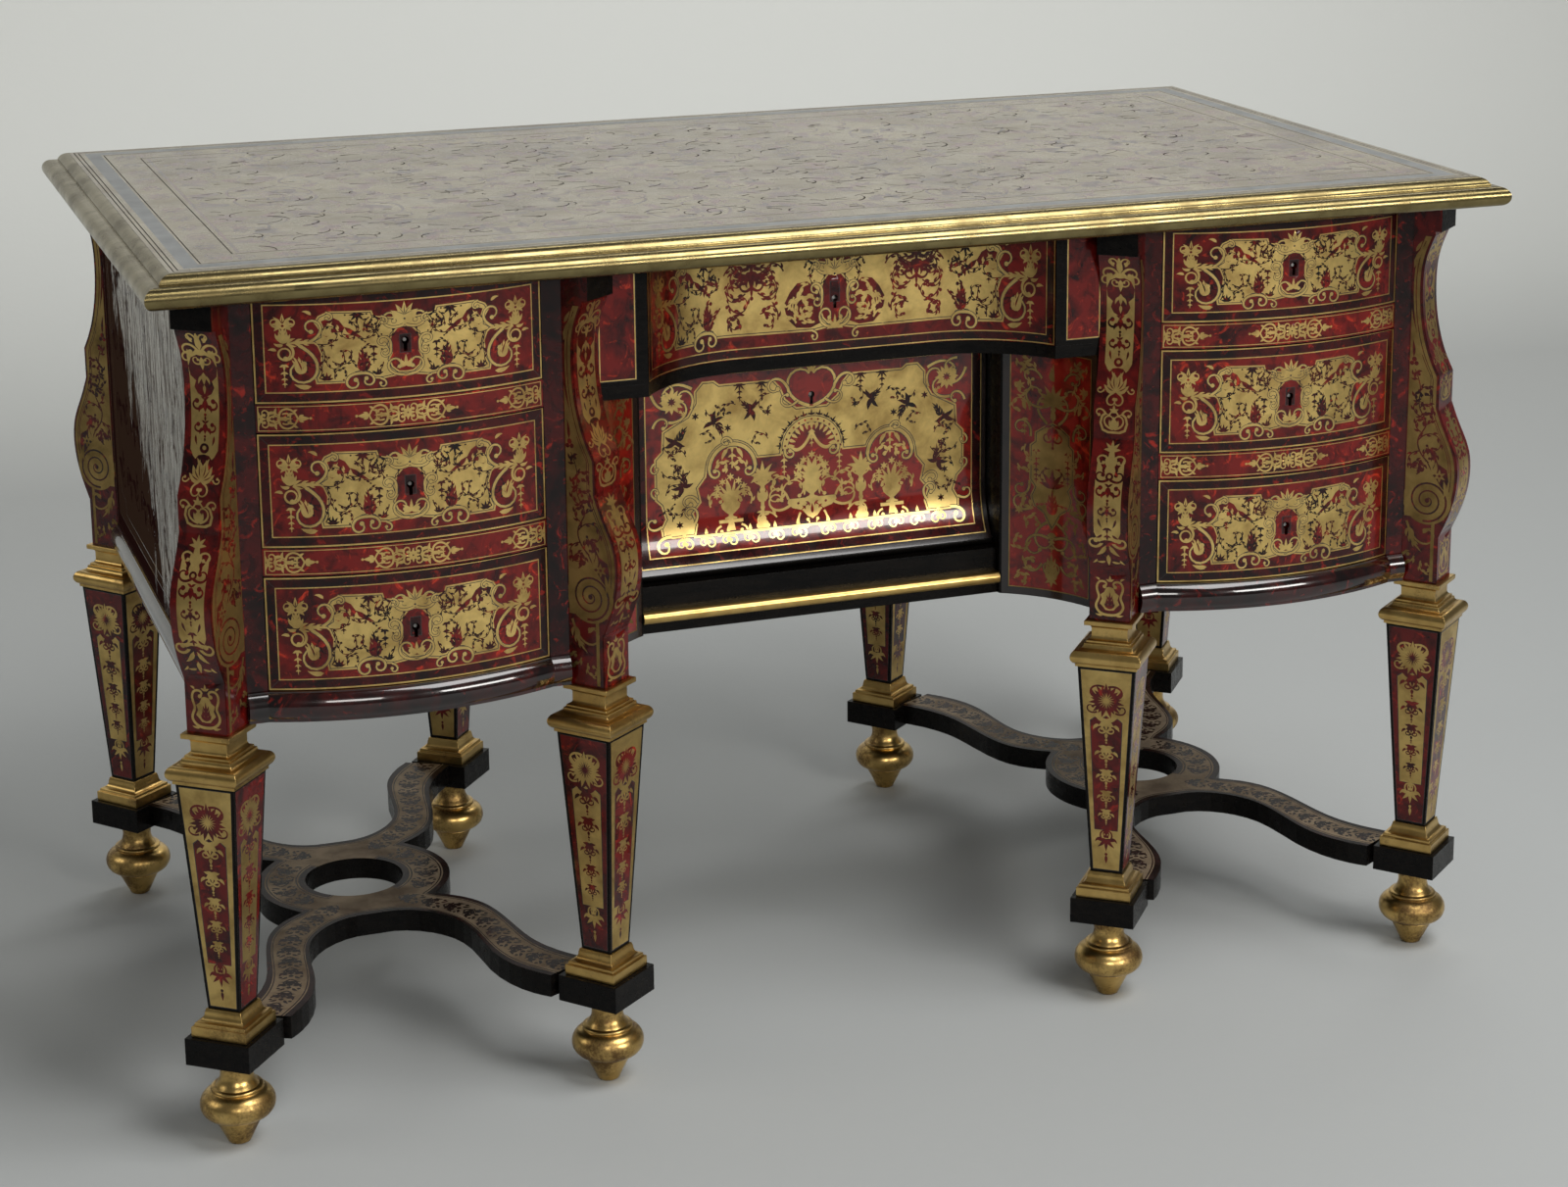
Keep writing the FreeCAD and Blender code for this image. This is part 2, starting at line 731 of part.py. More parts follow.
def lock_set(rise, thickness):
    """Lock, bolt and the cuts for them. Origin on the keyhole's axis in the front's inner face."""
    half_case = lock_case_width / 2
    half_plate = selvedge_width / 2
    case = box(-half_case, half_case, -lock_case_depth, 0, -lock_case_drop, rise)
    selvedge = box(-half_plate, half_plate, -lock_case_depth, 0, rise - selvedge_thickness, rise)
    pin_length = thickness - lock_case_depth - drill_pin_setback
    pin = forward_rod(drill_pin_radius, pin_length, -lock_case_depth)
    half_w = bolt_width / 2
    middle = -bolt_y()
    half_t = bolt_thickness / 2
    bolt_top = rise - touch_gap
    bolt = box(-half_w, half_w, middle - half_t, middle + half_t, bolt_top - bolt_length, bolt_top)
    channel = box(-half_w - fit_gap, half_w + fit_gap, middle - half_t - fit_gap, middle + half_t + fit_gap,
                  bolt_top - bolt_length - touch_gap, rise + overrun)
    lock = case.fuse(selvedge).fuse(pin).removeSplitter().cut(channel)
    recess = box(-half_case - fit_gap, half_case + fit_gap, -lock_case_depth - fit_gap, overrun,
                 -lock_case_drop - fit_gap, rise + overrun)
    plate_seat = box(-half_plate - fit_gap, half_plate + fit_gap, -lock_case_depth - fit_gap, overrun,
                     rise - selvedge_thickness - fit_gap, rise + overrun)
    hole = forward_rod(keyhole_radius, thickness + overrun, 0)
    slot = box(-keyhole_slot / 2, keyhole_slot / 2, -thickness - overrun, 0, -keyhole_drop, 0)
    return lock, bolt, [recess, plate_seat, hole, slot]


def fit_lock(front, spot, rise, thickness):
    """Cut a front for its lock; gives the front, the lock and the bolt."""
    lock, bolt, cuts = lock_set(rise, thickness)
    front = front.cut([moved(cut, spot) for cut in cuts])
    return front, moved(lock, spot), moved(bolt, spot)


def drawer_box(half_width, front_y, back_y, floor, ceiling):
    """Two sides, back and bottom of a drawer, from front_y to back_y."""
    low = floor + running_gap
    high = ceiling - drawer_side_drop
    outer, inner = half_width, half_width - side_board_thickness
    left = box(-outer, -inner, front_y, back_y, low, high)
    right = box(inner, outer, front_y, back_y, low, high)
    back = box(-inner, inner, back_y - side_board_thickness, back_y, low, high)
    bottom_low = low + drawer_bottom_lift
    bottom = box(-inner, inner, front_y, back_y - side_board_thickness, bottom_low,
                 bottom_low + drawer_bottom_thickness)
    return [left, right, back, bottom]


def pedestal_drawer(side, floor, ceiling):
    """Bow-fronted drawer: front, box, lock and bolt."""
    half = drawer_opening_half - front_gap
    low, high = floor + running_gap, ceiling - top_gap
    front = bow_slab(low, high, half, front_inner)
    key_z = floor + keyhole_rise
    thickness = front_edge_thickness + drawer_bow
    front, lock, bolt = fit_lock(front, V(0, -front_inner, key_z), high - key_z, thickness)
    back_y = front_plane - back_thickness - drawer_back_clearance
    boards = drawer_box(half, -front_inner, back_y, floor, ceiling)
    spot = V(side * pedestal_offset, 0, 0)
    boards = [moved(board, spot) for board in boards]
    return [moved(front, spot)], boards, moved(lock, spot), moved(bolt, spot)


def frieze_room(back):
    """Space in front of the concave frieze curve, moved back by a distance: two sweeps and the flat."""
    centre_y = frieze_flat_y - sweep_radius
    radius = sweep_radius + back
    low, high = carcass_level, desk_height
    sweeps = [upright_cylinder(side * frieze_flat_half, centre_y, radius, low, high)
              for side in sides.values()]
    flat = box(-frieze_flat_half, frieze_flat_half, centre_y - radius, centre_y + radius, low, high)
    return flat.fuse(sweeps)


def frieze_drawer():
    """Drawer with the concave front: front, box, lock and bolt."""
    half = frieze_half - front_gap
    low, high = frieze_floor + running_gap, top_level - top_gap
    inner_y = frieze_flat_y + frieze_front_thickness
    slab = box(-half, half, frieze_face_y, inner_y, low, high)
    front = slab.common(frieze_room(frieze_front_thickness)).cut(frieze_room(0)).removeSplitter()
    key_z = frieze_floor + keyhole_rise
    front, lock, bolt = fit_lock(front, V(0, inner_y, key_z), high - key_z, frieze_front_thickness)
    back_y = centre_back_face - drawer_back_clearance
    boards = drawer_box(half, frieze_face_y, back_y, frieze_floor, top_level)
    room = frieze_room(frieze_front_thickness + fit_gap)
    return [front], [board.cut(room) for board in boards], lock, bolt


def frieze_end_blocks():
    """Blocks between the frieze drawer and the consoles beside it."""
    blocks = []
    for side in sides.values():
        edges = sorted((side * frieze_half, side * (kneehole_half - fit_gap)))
        block = box(edges[0], edges[1], frieze_face_y, frieze_face_y + end_block_depth, frieze_floor,
                    top_level)
        blocks.append(block.cut(inner_rooms()))
    return blocks


def centre_dust_board():
    """Rail and dust board under the frieze drawer, with the same concave front."""
    reach = kneehole_half - fit_gap
    board = box(-reach, reach, frieze_face_y, centre_back_face, frieze_rail_level, frieze_floor)
    flap_bolt = flap_inner_y - bolt_y()
    return board.cut([frieze_room(0)] + inner_rooms() + [strike(0, flap_bolt, frieze_rail_level)])


def concave_axis():
    """Axis and radius of the right-hand concave side panel."""
    side = V(-lean_sin, -lean_cos, 0)
    start = V(cupboard_half, cupboard_front_y, 0)
    end = V(kneehole_half, -cant_side_v, 0) + side * concave_reach
    chord = end - start
    half_chord = chord.Length / 2
    radius = (half_chord ** 2 + concave_sagitta ** 2) / (2 * concave_sagitta)
    middle = (start + end) * 0.5
    inward = V(chord.y, -chord.x, 0) * (1 / chord.Length)
    return middle + inward * (radius - concave_sagitta), radius


def concave_side_panels():
    """Curved panels from the cupboard's stiles out to the consoles."""
    centre, radius = concave_axis()
    low, high = carcass_level, frieze_rail_level
    ring = upright_cylinder(centre.x, centre.y, radius + concave_thickness, low, high)
    ring = ring.cut(upright_cylinder(centre.x, centre.y, radius, low - overrun, high + overrun))
    cover = box(cupboard_half, kneehole_half - fit_gap, -front_plane, cupboard_front_y + overrun, low, high)
    panel = ring.common(cover).cut(inner_rooms())
    panel = max(panel.Solids, key=lambda solid: solid.Volume)
    return [panel, mirrored(panel)]


def pivot_pin(side):
    """Pin that carries one end of the fall-front."""
    start = side * (cupboard_half + pivot_in_side)
    return Part.makeCylinder(pivot_radius, pivot_length, V(start, pivot_y, pivot_z), V(-side, 0, 0))


def pivot_bore(start_x, length, clearance):
    return Part.makeCylinder(pivot_radius + clearance, length, V(start_x, pivot_y, pivot_z), V(1, 0, 0))


def cupboard_sides():
    """Sides of the cupboard; their front edge is fitted behind the concave panels."""
    centre, radius = concave_axis()
    high = frieze_rail_level
    side = box(cupboard_half, cupboard_half + cupboard_side_thickness, cupboard_front_y,
               centre_back_face, carcass_level + cupboard_bottom_thickness, high)
    curve = upright_cylinder(centre.x, centre.y, radius + concave_thickness + fit_gap,
                             carcass_level - overrun, high + overrun)
    bore = pivot_bore(cupboard_half - touch_gap, pivot_in_side + 2 * touch_gap, pivot_running_gap)
    side = side.cut([curve, bore])
    return [side, mirrored(side)]


def cupboard_bottom():
    """Bottom of the cupboard, carried on under its sides as far as the pedestals."""
    high = carcass_level + cupboard_bottom_thickness
    bottom = box(-cupboard_half, cupboard_half, cupboard_front_y + cupboard_bottom_setback, centre_back_face,
                 carcass_level, high)
    centre, radius = concave_axis()
    curve = upright_cylinder(centre.x, centre.y, radius + concave_thickness + fit_gap,
                             carcass_level - overrun, high + overrun)
    wing = box(cupboard_half, kneehole_half - fit_gap, -front_plane, centre_back_face, carcass_level, high)
    wing = wing.cut([curve] + inner_rooms())
    wing = max(wing.Solids, key=lambda solid: solid.Volume)
    return bottom.fuse([wing, mirrored(wing)]).removeSplitter()


def cupboard_fascia():
    """Upright board under the fall-front."""
    reach = cupboard_half - touch_gap
    low = carcass_level + cupboard_bottom_thickness
    face_y = cupboard_front_y + fascia_setback
    return box(-reach, reach, face_y, face_y + fascia_thickness, low, low + fascia_height)


def cupboard_gilt_moulding():
    """Half-round bead along the foot of the fascia."""
    reach = cupboard_half - touch_gap
    low = carcass_level + cupboard_bottom_thickness
    high = low + half_round_height
    face_y = cupboard_front_y + fascia_setback
    shoulder_y = face_y - half_round_out + half_round_height / 2
    points = [V(-reach, face_y, low), V(-reach, shoulder_y, low), V(-reach, shoulder_y, high),
              V(-reach, face_y, high)]
    crown = V(-reach, face_y - half_round_out, (low + high) / 2)
    edges = [line(points[0], points[1]), arc(points[1], crown, points[2]), line(points[2], points[3]),
             line(points[3], points[0])]
    return face(edges).extrude(V(2 * reach, 0, 0))


def kneehole_flap():
    """Fall-front: flat above, a cavetto foot that sweeps forward, pivots in its lower corners."""
    reach = cupboard_half - front_gap
    sweep_low = pivot_z
    sweep_high = sweep_low + flap_sweep_height
    radius = (flap_sweep_height ** 2 + flap_sweep_out ** 2) / (2 * flap_sweep_out)
    half_turn = math.asin(flap_sweep_height / radius) / 2
    middle_y = flap_face_y - radius * (1 - math.cos(half_turn))
    middle_z = sweep_high - radius * math.sin(half_turn)

    def spot(y, z):
        return V(-reach, y, z)

    nose_turn = pivot_nose * math.sin(math.radians(45))
    edges = [line(spot(flap_inner_y, flap_top - flap_bevel), spot(flap_face_y, flap_top)),
             line(spot(flap_face_y, flap_top), spot(flap_face_y, sweep_high)),
             arc(spot(flap_face_y, sweep_high), spot(middle_y, middle_z), spot(flap_foot_y, sweep_low)),
             arc(spot(flap_foot_y, sweep_low), spot(pivot_y - nose_turn, pivot_z - nose_turn),
                 spot(pivot_y, flap_level)),
             line(spot(pivot_y, flap_level), spot(flap_inner_y, flap_level)),
             line(spot(flap_inner_y, flap_level), spot(flap_inner_y, flap_top - flap_bevel))]
    board = face(edges).extrude(V(2 * reach, 0, 0))
    depth = pivot_length - pivot_in_side + touch_gap
    bores = [pivot_bore(-reach - overrun, depth + overrun, pivot_running_gap),
             pivot_bore(reach - depth, depth + overrun, pivot_running_gap)]
    board = board.cut(bores)
    key_z = flap_top - flap_key_drop
    rise = flap_top - flap_bevel - key_z
    return fit_lock(board, V(0, flap_inner_y, key_z), rise, flap_thickness)


def write(name, solids):
    """One STEP file for a node, with its pieces as separate solids."""
    solids = solids if isinstance(solids, list) else [solids]
    pieces = [piece for shape in solids for piece in shape.Solids]
    shape = pieces[0] if len(pieces) == 1 else Part.makeCompound(pieces)
    shape.exportStep("parts/" + name + ".step")


def write_drawer(name, parts):
    front, boards, lock, bolt = parts
    write(name + "_front", front)
    write(name + "_box", boards)
    write(name + "_lock", lock)
    write(name + "_bolt", bolt)


os.makedirs("parts", exist_ok=True)

write("feet", at_every_leg(foot()))
write("stretcher_blocks", at_every_leg(stretcher_block()))
write("leg_base_mouldings", at_every_leg(leg_base()))
write("tapered_legs", at_every_leg(tapered_leg()))
write("capitals", at_every_leg(capital()))
write("consoles", at_every_leg(console()))

for side_name, side_sign in sides.items():
    write(side_name + "_stretcher", stretcher(side_sign))
    write(side_name + "_corner_posts", corner_posts(side_sign))
    write(side_name + "_side_panels", side_panels(side_sign))
    write(side_name + "_front_rails", front_rails(side_sign))
    write(side_name + "_dust_boards", dust_boards(side_sign))
    for level_name, (floor_z, ceiling_z) in drawer_levels.items():
        write_drawer(side_name + "_" + level_name + "_drawer", pedestal_drawer(side_sign, floor_z, ceiling_z))

write("base_mouldings", base_mouldings(sides["left"]) + base_mouldings(sides["right"]))
write("back_panels", back_panels())
write("drawer_guides", drawer_guides())
write("top_panel", top_panel())
write("top_edge_moulding", top_edge_moulding())

write_drawer("frieze_drawer", frieze_drawer())
write("frieze_end_blocks", frieze_end_blocks())
write("centre_dust_board", centre_dust_board())

write("concave_side_panels", concave_side_panels())
write("cupboard_sides", cupboard_sides())
write("cupboard_bottom", cupboard_bottom())
write("cupboard_fascia", cupboard_fascia())
write("cupboard_gilt_moulding", cupboard_gilt_moulding())
write("flap_pivot_pins", [pivot_pin(side_sign) for side_sign in sides.values()])

flap, flap_lock, flap_bolt = kneehole_flap()
write("kneehole_flap", flap)
write("flap_lock", flap_lock)
write("flap_lock_bolt", flap_bolt)
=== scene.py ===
import math
import random
import bpy
import numpy as np
from mathutils import Matrix, Vector
from mathutils.geometry import delaunay_2d_cdt


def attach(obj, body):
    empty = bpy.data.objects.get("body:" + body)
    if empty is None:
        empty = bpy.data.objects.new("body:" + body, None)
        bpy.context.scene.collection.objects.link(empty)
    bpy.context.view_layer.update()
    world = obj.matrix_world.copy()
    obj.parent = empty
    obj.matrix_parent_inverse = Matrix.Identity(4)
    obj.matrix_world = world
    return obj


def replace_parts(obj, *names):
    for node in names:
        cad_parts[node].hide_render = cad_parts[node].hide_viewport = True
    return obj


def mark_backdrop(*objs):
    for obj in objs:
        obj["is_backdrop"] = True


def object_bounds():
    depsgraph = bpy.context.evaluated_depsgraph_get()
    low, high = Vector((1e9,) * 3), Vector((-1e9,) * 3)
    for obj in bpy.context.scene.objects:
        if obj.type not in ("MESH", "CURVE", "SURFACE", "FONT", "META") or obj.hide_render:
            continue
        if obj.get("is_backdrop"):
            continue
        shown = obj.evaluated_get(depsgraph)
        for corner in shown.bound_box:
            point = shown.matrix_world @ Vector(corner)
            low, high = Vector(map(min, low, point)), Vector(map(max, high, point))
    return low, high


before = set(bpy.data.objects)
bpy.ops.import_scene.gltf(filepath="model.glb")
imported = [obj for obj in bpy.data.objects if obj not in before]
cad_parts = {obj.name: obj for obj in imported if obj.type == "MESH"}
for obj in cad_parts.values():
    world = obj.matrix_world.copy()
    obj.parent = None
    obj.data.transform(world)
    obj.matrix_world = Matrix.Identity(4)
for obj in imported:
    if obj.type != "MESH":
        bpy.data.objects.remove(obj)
cad_low, cad_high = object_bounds()

# Feet
# Eight turned feet of cast bronze, gilt, and worn brown where mops and shoes touch them. Each was turned on a lathe
# together with the dowel that goes up into its stretcher block.
MM = 0.001
PEDESTAL_X, LEG_X, LEG_Y, CORNER_ANGLE = 424.365, 169.9, 299.53, 39.2
FOOT_TOP = 82.0
SIDES = (("left", -1), ("right", 1))
foot_profile = [(0.0, 0.0), (8.0, 0.0), (10.0, 1.2), (10.9, 3.4), (20.0, 22.0), (20.6, 23.4), (20.0, 24.4)]
foot_bulb = ((21.0, 25.0), (33.2, 38.0), (23.2, 50.6))
foot_collar = [(22.6, 51.2), (23.2, 51.8), (23.2, 53.4), (22.4, 54.2), (19.4, 54.6), (18.9, 55.4)]
foot_cove = ((18.6, 56.0), (14.9, 63.0), (14.6, 70.0))
foot_neck = [(15.6, 76.0), (17.0, 79.0), (17.0, FOOT_TOP), (0.0, FOOT_TOP)]


def arc(start, middle, end, count):
    """Points of the arc through three points."""
    (ax, ay), (bx, by), (cx, cy) = start, middle, end
    d = 2 * (ax * (by - cy) + bx * (cy - ay) + cx * (ay - by))
    a2, b2, c2 = ax * ax + ay * ay, bx * bx + by * by, cx * cx + cy * cy
    x = (a2 * (by - cy) + b2 * (cy - ay) + c2 * (ay - by)) / d
    y = (a2 * (cx - bx) + b2 * (ax - cx) + c2 * (bx - ax)) / d
    radius = math.hypot(ax - x, ay - y)
    first, turn = math.atan2(ay - y, ax - x), math.atan2(cy - y, cx - x)
    through = math.atan2(by - y, bx - x)
    span = (turn - first) % (2 * math.pi)
    if (through - first) % (2 * math.pi) > span:
        span -= 2 * math.pi
    return [(x + radius * math.cos(first + span * k / count), y + radius * math.sin(first + span * k / count))
            for k in range(count + 1)]


def turned(profile, sides):
    """Points and faces of a profile of half widths and levels turned round Z; four sides make a square moulding."""
    widen = 1 / math.cos(math.pi / sides) if sides == 4 else 1.0
    points, faces, rings = [], [], []
    for half, level in profile:
        if half == 0:
            rings.append([len(points)] * sides)
            points.append((0.0, 0.0, level))
            continue
        rings.append(list(range(len(points), len(points) + sides)))
        for k in range(sides):
            angle = 2 * math.pi * (k + 0.5) / sides
            points.append((half * widen * math.cos(angle), half * widen * math.sin(angle), level))
    for low, high in zip(rings, rings[1:]):
        for k in range(sides):
            corners = [low[k], low[(k + 1) % sides], high[(k + 1) % sides], high[k]]
            face = [corner for index, corner in enumerate(corners) if corner not in corners[:index]]
            if len(face) > 2:
                faces.append(face)
    return points, faces


def new_piece(name, points, faces, body, materials, sharp=40.0):
    """Mesh piece from points in millimetres. Edges sharper than the angle stay crisp."""
    mesh = bpy.data.meshes.new(name)
    mesh.from_pydata([Vector(point) * MM for point in points], [], faces)
    mesh.shade_smooth()
    mesh.set_sharp_from_angle(angle=math.radians(sharp))
    for material in materials:
        mesh.materials.append(material)
    piece = bpy.data.objects.new(name, mesh)
    bpy.context.scene.collection.objects.link(piece)
    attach(piece, body)
    return piece


def leg_places():
    """Side name, number, middle and outward direction of each leg."""
    for side, sign in SIDES:
        for number, (u, v) in enumerate(((-1, -1), (1, -1), (1, 1), (-1, 1)), 1):
            middle = Vector((sign * PEDESTAL_X + u * LEG_X, v * LEG_Y, 0))
            turn = math.radians(CORNER_ANGLE)
            yield f"{side}_{number}", middle, math.atan2(v * math.cos(turn), u * math.sin(turn))


def at_leg(points, middle, angle):
    """Points drawn about the origin, brought to a leg with X along its outward direction."""
    turn = Matrix.Rotation(angle, 3, "Z")
    return [turn @ Vector(point) + middle for point in points]


def bronze_at_legs(name, outline, sides, gilding, sharp, node):
    """The same turned or square bronze at every leg, in place of a CAD node."""
    for place, middle, angle in leg_places():
        points, faces = turned(outline, sides)
        bronze = new_piece(f"{name}_{place}", at_leg(points, middle, angle), faces, "carcass",
                           [gilding], sharp)
        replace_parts(bronze, node)


def feed(material, socket, value):
    """Sets a socket, or links it where the value is another node's output."""
    if isinstance(value, bpy.types.NodeSocket):
        material.node_tree.links.new(value, socket)
    else:
        socket.default_value = value


def add_node(material, kind, settings=(), **sockets):
    """Shader node whose sockets are set by name, or linked where the value is another node's output."""
    node = material.node_tree.nodes.new("ShaderNode" + kind)
    for name, value in dict(settings).items():
        setattr(node, name, value)
    for name, value in sockets.items():
        feed(material, node.inputs[name.replace("_", " ")], value)
    return node


def new_material(name, **values):
    """Material with a plain Principled shader, ready for its textures."""
    material = bpy.data.materials.new(name)
    material.use_nodes = True
    shader = material.node_tree.nodes["Principled BSDF"]
    for socket, value in values.items():
        shader.inputs[socket.replace("_", " ")].default_value = value
    return material, shader


def noise(material, scale, detail=4.0, rough=0.55, distort=0.0, stretch=None):
    """Noise in the piece's own space, drawn out along an axis where stretch is given."""
    place = add_node(material, "TexCoord").outputs["Object"]
    if stretch:
        place = add_node(material, "Mapping", Vector=place, Scale=stretch).outputs["Vector"]
    return add_node(material, "TexNoise", Vector=place, Scale=scale, Detail=detail, Roughness=rough,
                    Distortion=distort).outputs["Fac"]


def ramp(material, value, *stops):
    """Colour ramp with (place, colour) stops."""
    node = add_node(material, "ValToRGB", Fac=value)
    elements = node.color_ramp.elements
    while len(elements) < len(stops):
        elements.new(0.5)
    for element, (place, color) in zip(elements, stops):
        element.position = place
        element.color = (*color, 1) if len(color) == 3 else (color[0], color[0], color[0], 1)
    return node.outputs["Color"]


def blended(material, kind, factor, first, second):
    """Two colours or outputs blended in the given way."""
    colors = [value if isinstance(value, bpy.types.NodeSocket) else (*value, 1) for value in (first, second)]
    return add_node(material, "MixRGB", {"blend_type": kind}, Fac=factor, Color1=colors[0],
                    Color2=colors[1]).outputs["Color"]


def drive(material, shader, **sockets):
    """Links outputs to the shader's sockets."""
    for name, value in sockets.items():
        material.node_tree.links.new(value, shader.inputs[name.replace("_", " ")])


def dented(material, shader, height, distance, edge=0.0):
    """Bump from a height; edge rounds the crisp edges of the solid below by that radius in metres."""
    bump = add_node(material, "Bump", Height=height, Distance=distance, Strength=1.0)
    if edge:
        rounding = add_node(material, "Bevel", {"samples": 4}, Radius=edge)
        material.node_tree.links.new(rounding.outputs["Normal"], bump.inputs["Normal"])
    drive(material, shader, Normal=bump.outputs["Normal"])


def gilt_bronze(name, wear, edge=0.0):
    """Cast bronze with a rubbed gilding: brown in the worn patches, duller and pitted there."""
    material, shader = new_material(name, Metallic=1.0)
    patches = noise(material, 26, 8, 0.62)
    specks = noise(material, 420, 3, 0.7)
    patch_mask = ramp(material, blended(material, "OVERLAY", 0.45, patches, specks), (wear - 0.09, (0.0,)),
                (wear + 0.1, (1.0,)))
    gold = ramp(material, noise(material, 60, 3), (0.3, (0.48, 0.31, 0.10)), (0.7, (0.66, 0.45, 0.16)))
    drive(material, shader, Base_Color=blended(material, "MIX", patch_mask, gold, (0.17, 0.10, 0.04)),
          Roughness=ramp(material, patch_mask, (0.0, (0.28,)), (1.0, (0.5,))))
    dented(material, shader, blended(material, "MIX", 0.5, patches, specks), 0.00022, edge)
    return material


foot_gilt = gilt_bronze("gilt_bronze_feet", 0.56)
foot_outline = foot_profile + arc(*foot_bulb, 22) + foot_collar + arc(*foot_cove, 8) + foot_neck
bronze_at_legs("foot", foot_outline, 64, foot_gilt, 50, "feet")

# Stretcher blocks
# Square ebonised blocks that hold the stretcher between leg and foot. Their arrises are eased by hand, and the black
# is rubbed nearly dull.
ebony, ebony_shader = new_material("ebony", Specular_IOR_Level=0.10, Coat_Weight=0.03, Coat_Roughness=0.08)
drive(ebony, ebony_shader,
      Base_Color=ramp(ebony, noise(ebony, 30, 6, 0.6, 0.4, (1, 6, 6)), (0.35, (0.0022, 0.002, 0.002)),
                      (0.75, (0.007, 0.0055, 0.0045))),
      Roughness=ramp(ebony, noise(ebony, 90, 5), (0.3, (0.2,)), (0.75, (0.36,))))
dented(ebony, ebony_shader, noise(ebony, 700, 3, 0.6, 0, (1, 12, 12)), 0.00004, 0.0007)


def finish_node(name, *materials):
    """Gives a CAD node its finish through the slots that it has."""
    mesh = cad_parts[name].data
    for index in range(max(len(mesh.materials), 1)):
        if index < len(mesh.materials):
            mesh.materials[index] = materials[min(index, len(materials) - 1)]
        else:
            mesh.materials.append(materials[0])


finish_node("stretcher_blocks", ebony)

# Stretchers
# Two X-shaped stretchers with a pierced ring in the middle, sawn from thick board with wavy edges. The top is veneered
# with brass and dark shell, the edges are ebonised; each arm is let in between its blocks.
RING_RADIUS, RING_HOLE, ARCH_APEX, LINE_STEPS, RING_STEPS = 93.5, 47.6, 95.5, 48, 96
arm_inner_shares = [(0.15, 0.325), (0.30, 0.375), (0.41, 0.46), (0.465, 0.60), (0.485, 0.73), (0.55, 0.86),
                    (0.70, 0.98)]
arm_outer_shares = [(0.378, 0.228), (0.48, 0.27), (0.585, 0.34), (0.655, 0.45), (0.70, 0.60), (0.745, 0.71),
                    (0.82, 0.80), (0.95, 0.90)]
BLOCK_TOP, VINE_HALF, VINE_START, ARM_VINE_PITCH, RING_VINE_PITCH = 106.7, 12, 6, 25, 27.7
SHELL, BRASS, BLACK, DARK = range(4)


def second_slopes(stops, values):
    """Second derivatives of the natural cubic curve through the values."""
    count = len(values)
    upper, right = [0.0] * count, [0.0] * count
    for k in range(1, count - 1):
        before, after = stops[k] - stops[k - 1], stops[k + 1] - stops[k]
        pivot = 2 * (before + after) - before * upper[k - 1]
        bend = 6 * ((values[k + 1] - values[k]) / after - (values[k] - values[k - 1]) / before)
        upper[k] = after / pivot
        right[k] = (bend - before * right[k - 1]) / pivot
    slopes = [0.0] * count
    for k in range(count - 2, 0, -1):
        slopes[k] = right[k] - upper[k] * slopes[k + 1]
    return slopes


def stops_along(line):
    """Distance of each point from the start of the line."""
    stops = [0.0]
    for start, end in zip(line, line[1:]):
        stops.append(stops[-1] + math.dist(start, end))
    return stops


def smooth_line(points, count):
    """Evenly spaced points on the smooth curve through the points."""
    stops = stops_along(points)
    tracks = [[point[axis] for point in points] for axis in (0, 1)]
    bends = [second_slopes(stops, track) for track in tracks]
    line, span = [], 0
    for step in range(count + 1):
        at = stops[-1] * step / count
        while span < len(stops) - 2 and at > stops[span + 1]:
            span += 1
        width = stops[span + 1] - stops[span]
        left, right = (stops[span + 1] - at) / width, (at - stops[span]) / width
        line.append(tuple(left * track[span] + right * track[span + 1] + ((left ** 3 - left) * bend[span]
                          + (right ** 3 - right) * bend[span + 1]) * width * width / 6
                          for track, bend in zip(tracks, bends)))
    return line


class Drawing:
    """Shapes cut from the sheets of a marquetry, each covering what was cut before it."""

    def __init__(self, *flips):
        self.flips = flips or ((1, 1),)
        self.shapes = []

    def cut(self, sheet, polygons):
        """Cuts the polygons and their mirror images."""
        for polygon in polygons:
            for flip_x, flip_y in self.flips:
                self.shapes.append((sheet, [(x * flip_x, y * flip_y) for x, y in polygon]))

    def cut_each(self, sheet, motif, places, *more):
        """Cuts a motif once for each row of its first values."""
        for place in places:
            self.cut(sheet, motif(*place, *more))


def strip(line, half_at):
    """Outline round a line, whose half width is given for each share of its length."""
    left, right = [], []
    for index, (x, y) in enumerate(line):
        before, after = line[max(index - 1, 0)], line[min(index + 1, len(line) - 1)]
        along_x, along_y = after[0] - before[0], after[1] - before[1]
        half = half_at(index / (len(line) - 1)) / (math.hypot(along_x, along_y) or 1)
        left.append((x - along_y * half, y + along_x * half))
        right.append((x + along_y * half, y - along_x * half))
    return [right + left[::-1]]


def bearing(degrees):
    """Step of length one in a direction, as (x, y)."""
    return math.cos(math.radians(degrees)), math.sin(math.radians(degrees))


def ribbon(line, widths):
    """Strip that goes evenly from one width to the other."""
    return strip(line, lambda share: (widths[0] + (widths[1] - widths[0]) * share) / 2)


def disc(x, y, radius, sides=8):
    """Round piece, with as few sides as its size allows."""
    return [[(x + radius * math.cos(2 * math.pi * k / sides), y + radius * math.sin(2 * math.pi * k / sides))
             for k in range(sides)]]


def curl(x, y, heading, length, turn, tighten=1.0):
    """Line that sets out at a heading and turns by turn degrees, faster towards its end if tighten is over 1."""
    count = max(4, int(abs(turn) / 25) + 3)
    line = [(x, y)]
    for step in range(count):
        along_x, along_y = bearing(heading + turn * ((step + 0.5) / count) ** tighten)
        x, y = x + length / count * along_x, y + length / count * along_y
        line.append((x, y))
    return line


